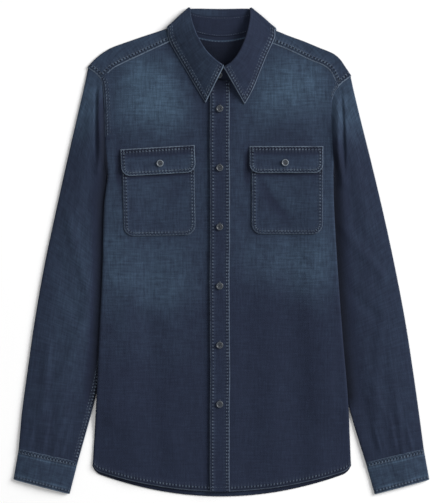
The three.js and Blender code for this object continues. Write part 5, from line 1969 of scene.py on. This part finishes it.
    def leaf_grid(self) -> Grid:
        """The leaf: a lip down to its seam with the stand, a half turn over the fold, and the fall.

        The fall runs straight from fold to edge with a swell of 1.6 * sin(pi share).
        """
        at = self.dense(self.stations())
        down, out = unit(at["neck"] - at["fold"]), unit(at["edge"] - at["fold"])
        back = unit(down + out)
        radius = (at["leaf"] - at["stand"]) / 2
        lip = np.array([1.0, 0.7, 0.4, 0.15])[None, :, None]
        inner = at["fold"] + down * at["lip"] * lip + at["stack"] * at["stand"]
        angle = np.linspace(0, math.pi, 11)[None, :, None]
        roll = at["fold"] + at["stack"] * ((at["stand"] + at["leaf"]) / 2 - radius * np.cos(angle))
        roll = roll - back * radius * np.sin(angle)
        share = (np.linspace(0, 1, 42)[1:] ** 0.92)[None, :, None]
        swell = 1.6 * np.maximum(at["stack"][..., 2:], 0) * np.sin(math.pi * share)
        fall = mix(at["fold"], at["edge"], share) + at["stack"] * (at["leaf"] + swell)
        surface = np.concatenate([inner, roll, fall], axis=1)
        depth = to_last_column(surface)
        waves = Unevenness(141, 0.12, 12, 46)(surface[..., 0], surface[..., 1])
        extra = turned_edge(depth, 0.35, 7.0, 9.0, 0.25, 1.4)
        extra = (extra + waves * smooth(depth, 2, 12)) * smooth(at["stack"][..., 2], -0.4, 0.4)
        # Painted light: the wearer's right leaf, which faces away from the key light, is made paler than
        # the left one
        fade = 0.23 - 0.2 * smooth(surface[..., 0], -24, 30)
        grid = self.wall(surface, extra, fade)
        for edge in (Edge.LAST_COLUMN, Edge.FIRST_ROW, Edge.LAST_ROW):
            grid.sew(edge)
        return grid

    def stand_grid(self) -> Grid:
        """The stand: straight from the neck seam up to the leaf's lip, inside the ring."""
        at = self.dense([self.stand_end(Side.RIGHT), *self.stations(), self.stand_end(Side.LEFT)])
        rise = at["fold"] - at["neck"]
        lip = (at["lip"] + 0.2) / np.linalg.norm(rise, axis=-1, keepdims=True)
        share = np.linspace(0, 1, 22)[None, :, None]
        surface = at["neck"] + rise * share * (1 - lip) + at["stack"] * at["stand"]
        waves = Unevenness(151, 0.08, 12, 40)(surface[..., 0], surface[..., 1])
        # Painted shade: the stand is darker than the dark cloth, most of all at its front ends in the
        # throat
        fade = mix(-0.06, -0.3, smooth(-surface[..., 1], -320, -306))
        return self.wall(surface, waves, fade)

    def build(self) -> None:
        """Leaf and stand, each with its rows of stitches."""
        leaf, sewn = self.leaf_grid(), Soup()
        for k, inset in enumerate((5.0, 9.6)):
            for edge in (Edge.LAST_COLUMN, Edge.FIRST_ROW, Edge.LAST_ROW):
                shown = slice(None) if edge is Edge.LAST_COLUMN else slice(15, -6)
                points, up = leaf.path(edge, inset)
                TOPSTITCH.sew(sewn, (points[shown], up[shown]), 160 + k)
        below = ("front_right_cloth", "front_left_cloth", "collar_stand_cloth")
        self.dress("collar_leaf", "denim", [leaf], Cut(0.47, 0.085, 0.025, below), sewn)
        stand, rows = self.stand_grid(), Soup()
        under = stand.flipped()
        FINE_STITCH.sew(rows, under.path(Edge.FIRST_COLUMN, 2.0), 166)
        FINE_STITCH.sew(rows, under.path(Edge.LAST_COLUMN, 2.0), 167)
        cut = Cut(0.43, 0.036, 0.0114, ("front_right_cloth", "front_left_cloth", "yoke_cloth"))
        self.dress("collar_stand", "denim", [stand], cut, rows)


# Buttons


@dataclass
class Buttons(Piece):
    """Four-hole resin buttons with a raised rim."""

    radius: float = 5.65
    height: float = 2.4
    rim: float = 1.3
    dish: float = 0.7
    hole_place: float = 1.15
    hole_radius: float = 0.72
    side_points: int = 32

    def shape(self) -> tuple[Array, Array, Array]:
        """A button about its underside's centre.

        A square grid is drawn to a disc by x = u sqrt(1 - v v / 2) and y = v sqrt(1 - u u / 2). The top is
        the dished middle, a round rim and four pits; the underside is flat with a round edge.
        """
        even = np.sin(np.linspace(-math.pi / 2, math.pi / 2, self.side_points))
        even = mix(np.linspace(-1, 1, self.side_points), even, 0.5)
        u, v = np.meshgrid(even, even, indexing="ij")
        x, y = self.radius * u * np.sqrt(1 - v * v / 2), self.radius * v * np.sqrt(1 - u * u / 2)
        r = np.hypot(x, y)
        rim = smooth(r, self.radius - self.rim - 0.5, self.radius - self.rim + 0.3)
        edge = np.clip((r - self.radius + 0.8) / 0.8, 0, 1)
        top = self.height - self.dish * (1 - rim) - 0.75 * (1 - np.sqrt(1 - edge**2 * 0.98))
        for sx, sy in ((1, 1), (1, -1), (-1, 1), (-1, -1)):
            away = np.hypot(x - sx * self.hole_place, y - sy * self.hole_place)
            top = top - 1.1 * (1 - smooth(away, self.hole_radius - 0.3, self.hole_radius + 0.15))
        under = 0.7 * (1 - np.sqrt(1 - edge**2 * 0.98))
        grid = Grid(stacked(x, y, top), stacked(x, y, under), flat(x, y), 0 * x)
        points, faces, source = shell(grid)
        return points, faces, rim.ravel()[source]

    def button(
        self, name: str, at: Array, turn: float = 0.0, lean: float = 0.0, worn: float = 0.25
    ) -> None:
        """Places one button and its thread, turned about its own axis and leaned about X.

        Args:
            name: The solid that it replaces.
            at: Centre of its underside.
            turn: Angle about its own axis.
            lean: Angle about X.
            worn: How pale its rim is, a painted highlight; at 1 the button gets pale thread too.
        """
        points, faces, rim = self.shape()
        bars = Soup()
        hole, z = self.hole_place, self.height - self.dish + 0.1
        along = ((-hole - 0.4, z - 0.3), (-hole, z), (hole, z), (hole + 0.4, z - 0.3))
        for sx in (-1, 1):
            line = np.array([[sx * hole, y, height] for y, height in along])
            BUTTON_BAR.sew(bars, upright(line), 170)
        c, s, cl, sl = math.cos(turn), math.sin(turn), math.cos(lean), math.sin(lean)
        turned = np.array([[c, -s, 0], [s, c, 0], [0, 0, 1]])
        matrix = np.array([[1, 0, 0], [0, cl, -sl], [0, sl, cl]]) @ turned
        disc = Soup()
        disc.add(points @ matrix.T + at, faces)
        mesh = disc.mesh(name)
        store(mesh, "rim", worn * rim)
        solid = placed(f"{name}_resin", mesh, self.finishes.resin)
        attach(solid, "root")
        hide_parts(name)
        bars.points = [part @ matrix.T + at for part in bars.points]
        thread = self.finishes.thread if worn == 1.0 else self.finishes.dark_thread
        thread_object(f"{name}_thread", bars, thread)

    def hole(self, name: str, centre: tuple[float, float], face: Plan, length: float = 12.6) -> None:
        """A stitched buttonhole: a flat ring of thread round a slit, upright in the plan."""
        count, sides, radius = 60, 8, 1.15
        turn = np.linspace(0, 2 * math.pi, count + 1)[:-1]
        half = length / 2 - 1.1
        x = centre[0] + radius * np.cos(turn)
        stretch = np.sign(np.sin(turn)) * np.minimum(np.abs(np.sin(turn)) * 4, 1)
        y = centre[1] + radius * np.sin(turn) + half * stretch
        middle = stacked(x, y, face(x, y) + 0.05)
        ahead = unit(np.roll(middle, -1, axis=0) - np.roll(middle, 1, axis=0))
        side = unit(np.cross(ahead, UP))
        around = np.linspace(0, 2 * math.pi, sides, endpoint=False)
        notch = 1 + 0.16 * np.cos(turn * 30)[:, None, None]
        ring = middle[:, None] + side[:, None] * (np.cos(around) * 0.75)[None, :, None] * notch
        ring = ring + UP * (np.sin(around) * 0.42)[None, :, None]
        index = np.arange(count * sides).reshape(count, sides)
        closed = np.concatenate([index, index[:1]], axis=0)
        soup = Soup()
        soup.add(ring.reshape(-1, 3), outward(ring.reshape(-1, 3), quads(closed, around=True)))
        thread_object(name, soup, self.finishes.dark_thread)

    def build(self) -> None:
        """All buttons, with the buttonholes of the placket."""
        placket = Placket(self.finishes)
        for k in range(6):
            y = BUTTON_TOP - BUTTON_PITCH * k
            under = float(LAY.left_front(np.array(BUTTON_X), np.array(y)))
            z = under + 2 * LAY.cloth + LAY.rest + LAY.gap
            self.hole(f"placket_buttonhole_{k + 1}", (BUTTON_X, y + 0.8), placket.face)
            self.button(f"front_button_{k + 1}", np.array([BUTTON_X, y, z + 0.3]), 0.5 * k)
        # The flap buttons get the full painted highlight on their rims and pale thread
        for side, (x, y) in {Side.RIGHT: (-101.0, 145.4), Side.LEFT: (105.3, 146.5)}.items():
            z = float(LAY.front_face(np.array(x), np.array(y))) + 2 * (LAY.cloth + LAY.rest) + LAY.gap
            self.button(f"flap_button_{side.word}", np.array([x, y, z + 0.6]), 0.3, worn=1.0)
        for side, (x, y) in {Side.RIGHT: (-305.0, -361.0), Side.LEFT: (306.0, -361.4)}.items():
            self.button(f"cuff_button_{side.word}", np.array([x, y, 0.0]), 0.8)
        low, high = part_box("collar_button")
        middle = (np.array(low) + np.array(high)) / 2 / MM
        lean = math.atan2(high[2] - low[2], high[1] - low[1])
        at = middle - np.array([0.0, -math.sin(lean), math.cos(lean)]) * self.height / 2
        self.button("collar_button", at, 0.2, lean)


# Stage


@dataclass
class Studio:
    """Floor, soft lights and a camera straight above, whose picture is 443 by 503 pixels of 1.65 mm."""

    pixel: float = 1.65
    wide: int = 443
    tall: int = 503
    height: float = 3.4
    plane: float = 0.006
    key_power: float = 700.0
    fill_power: float = 15.0
    sky: float = 0.36

    def floor(self) -> None:
        """A pale floor of 8 m, just under the shirt."""
        half, z = 4.0, -0.0004
        mesh = bpy.data.meshes.new("floor")
        corners_of_floor = [(-half, -half, z), (half, -half, z), (half, half, z), (-half, half, z)]
        mesh.from_pydata(corners_of_floor, [], [(0, 1, 2, 3)])
        placed("floor", mesh, Paper().material())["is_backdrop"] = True

    def light(self, name: str, at: tuple[float, float, float], size: float, power: float) -> None:
        """A square soft light that faces the shirt's middle."""
        data = bpy.data.lights.new(name, "AREA")
        data.size, data.energy = size, power
        thing = bpy.data.objects.new(name, data)
        thing.location = at
        tilt = math.atan2(math.hypot(at[0], at[1]), at[2])
        thing.rotation_euler = (tilt, 0, math.atan2(at[0], -at[1]))
        bpy.context.scene.collection.objects.link(thing)

    def build(self) -> None:
        """Floor, key light from the upper right, fill, sky and camera."""
        self.floor()
        self.light("key", (5.6, 2.6, 3.2), 3.6, self.key_power)
        self.light("fill", (-0.9, -0.6, 2.8), 2.4, self.fill_power)
        world = bpy.data.worlds.new("studio")
        world.use_nodes = True
        background = world.node_tree.nodes["Background"]
        background.inputs[0].default_value = (1.0, 1.0, 1.0, 1.0)
        background.inputs[1].default_value = self.sky
        scene = bpy.context.scene
        scene.world = world
        scene.view_settings.view_transform = "Standard"
        data = bpy.data.cameras.new("camera")
        data.sensor_width = 36.0
        data.lens = 36.0 * self.height / (self.tall * self.pixel * MM)
        data.clip_end = 50.0
        camera = bpy.data.objects.new("camera", data)
        camera.location = ((self.wide / 2 - 221.3) * self.pixel * MM, 0.0, self.height + self.plane)
        scene.collection.objects.link(camera)
        scene.camera = camera


def corners() -> list[list[float]]:
    """The shown object's box as plain numbers."""
    return [[round(float(value), 5) for value in corner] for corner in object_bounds()]


def main() -> None:
    """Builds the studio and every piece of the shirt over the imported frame."""
    logging.basicConfig(level=logging.INFO, format="%(name)s: %(message)s")
    for thing in list(bpy.data.objects):
        bpy.data.objects.remove(thing)
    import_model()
    Studio().build()
    finishes = Finishes()
    Back(finishes).build()
    Yoke(finishes).build()
    for side in Side:
        Front(finishes, side).build()
        Sleeve(finishes, side).build()
    Cuff(finishes, Side.RIGHT).build()
    Cuff(
        finishes,
        Side.LEFT,
        seam_outer=(334.6, -327.6),
        seam_inner=(238.9, -350.2),
        end_outer=(343.5, -376.4),
        end_inner=(253.3, -400.6),
        button=(306.0, -361.4),
    ).build()
    Placket(finishes).build()
    Pocket(finishes, Side.RIGHT, x=-102.6, y=89.0, tilt=1.2, width=118.0, height=125.0).build()
    Pocket(finishes, Side.LEFT, x=108.9, y=90.0, tilt=-0.2, width=117.0, height=122.0).build()
    Flap(finishes, Side.RIGHT, x=-104.2, y=149.6, tilt=3.4, width=122.0, height=44.0).build()
    Flap(finishes, Side.LEFT, x=107.4, y=151.6, tilt=0.0, width=121.0, height=43.5).build()
    Collar(finishes).build()
    Buttons(finishes).build()
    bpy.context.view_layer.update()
    shown = [thing.data for thing in bpy.context.scene.objects if thing.type == "MESH"]
    triangles = sum(len(mesh.loops) - 2 * len(mesh.polygons) for mesh in shown)
    LOG.info("box: %s, triangles: %d", corners(), triangles)


if __name__ == "__main__":
    main()
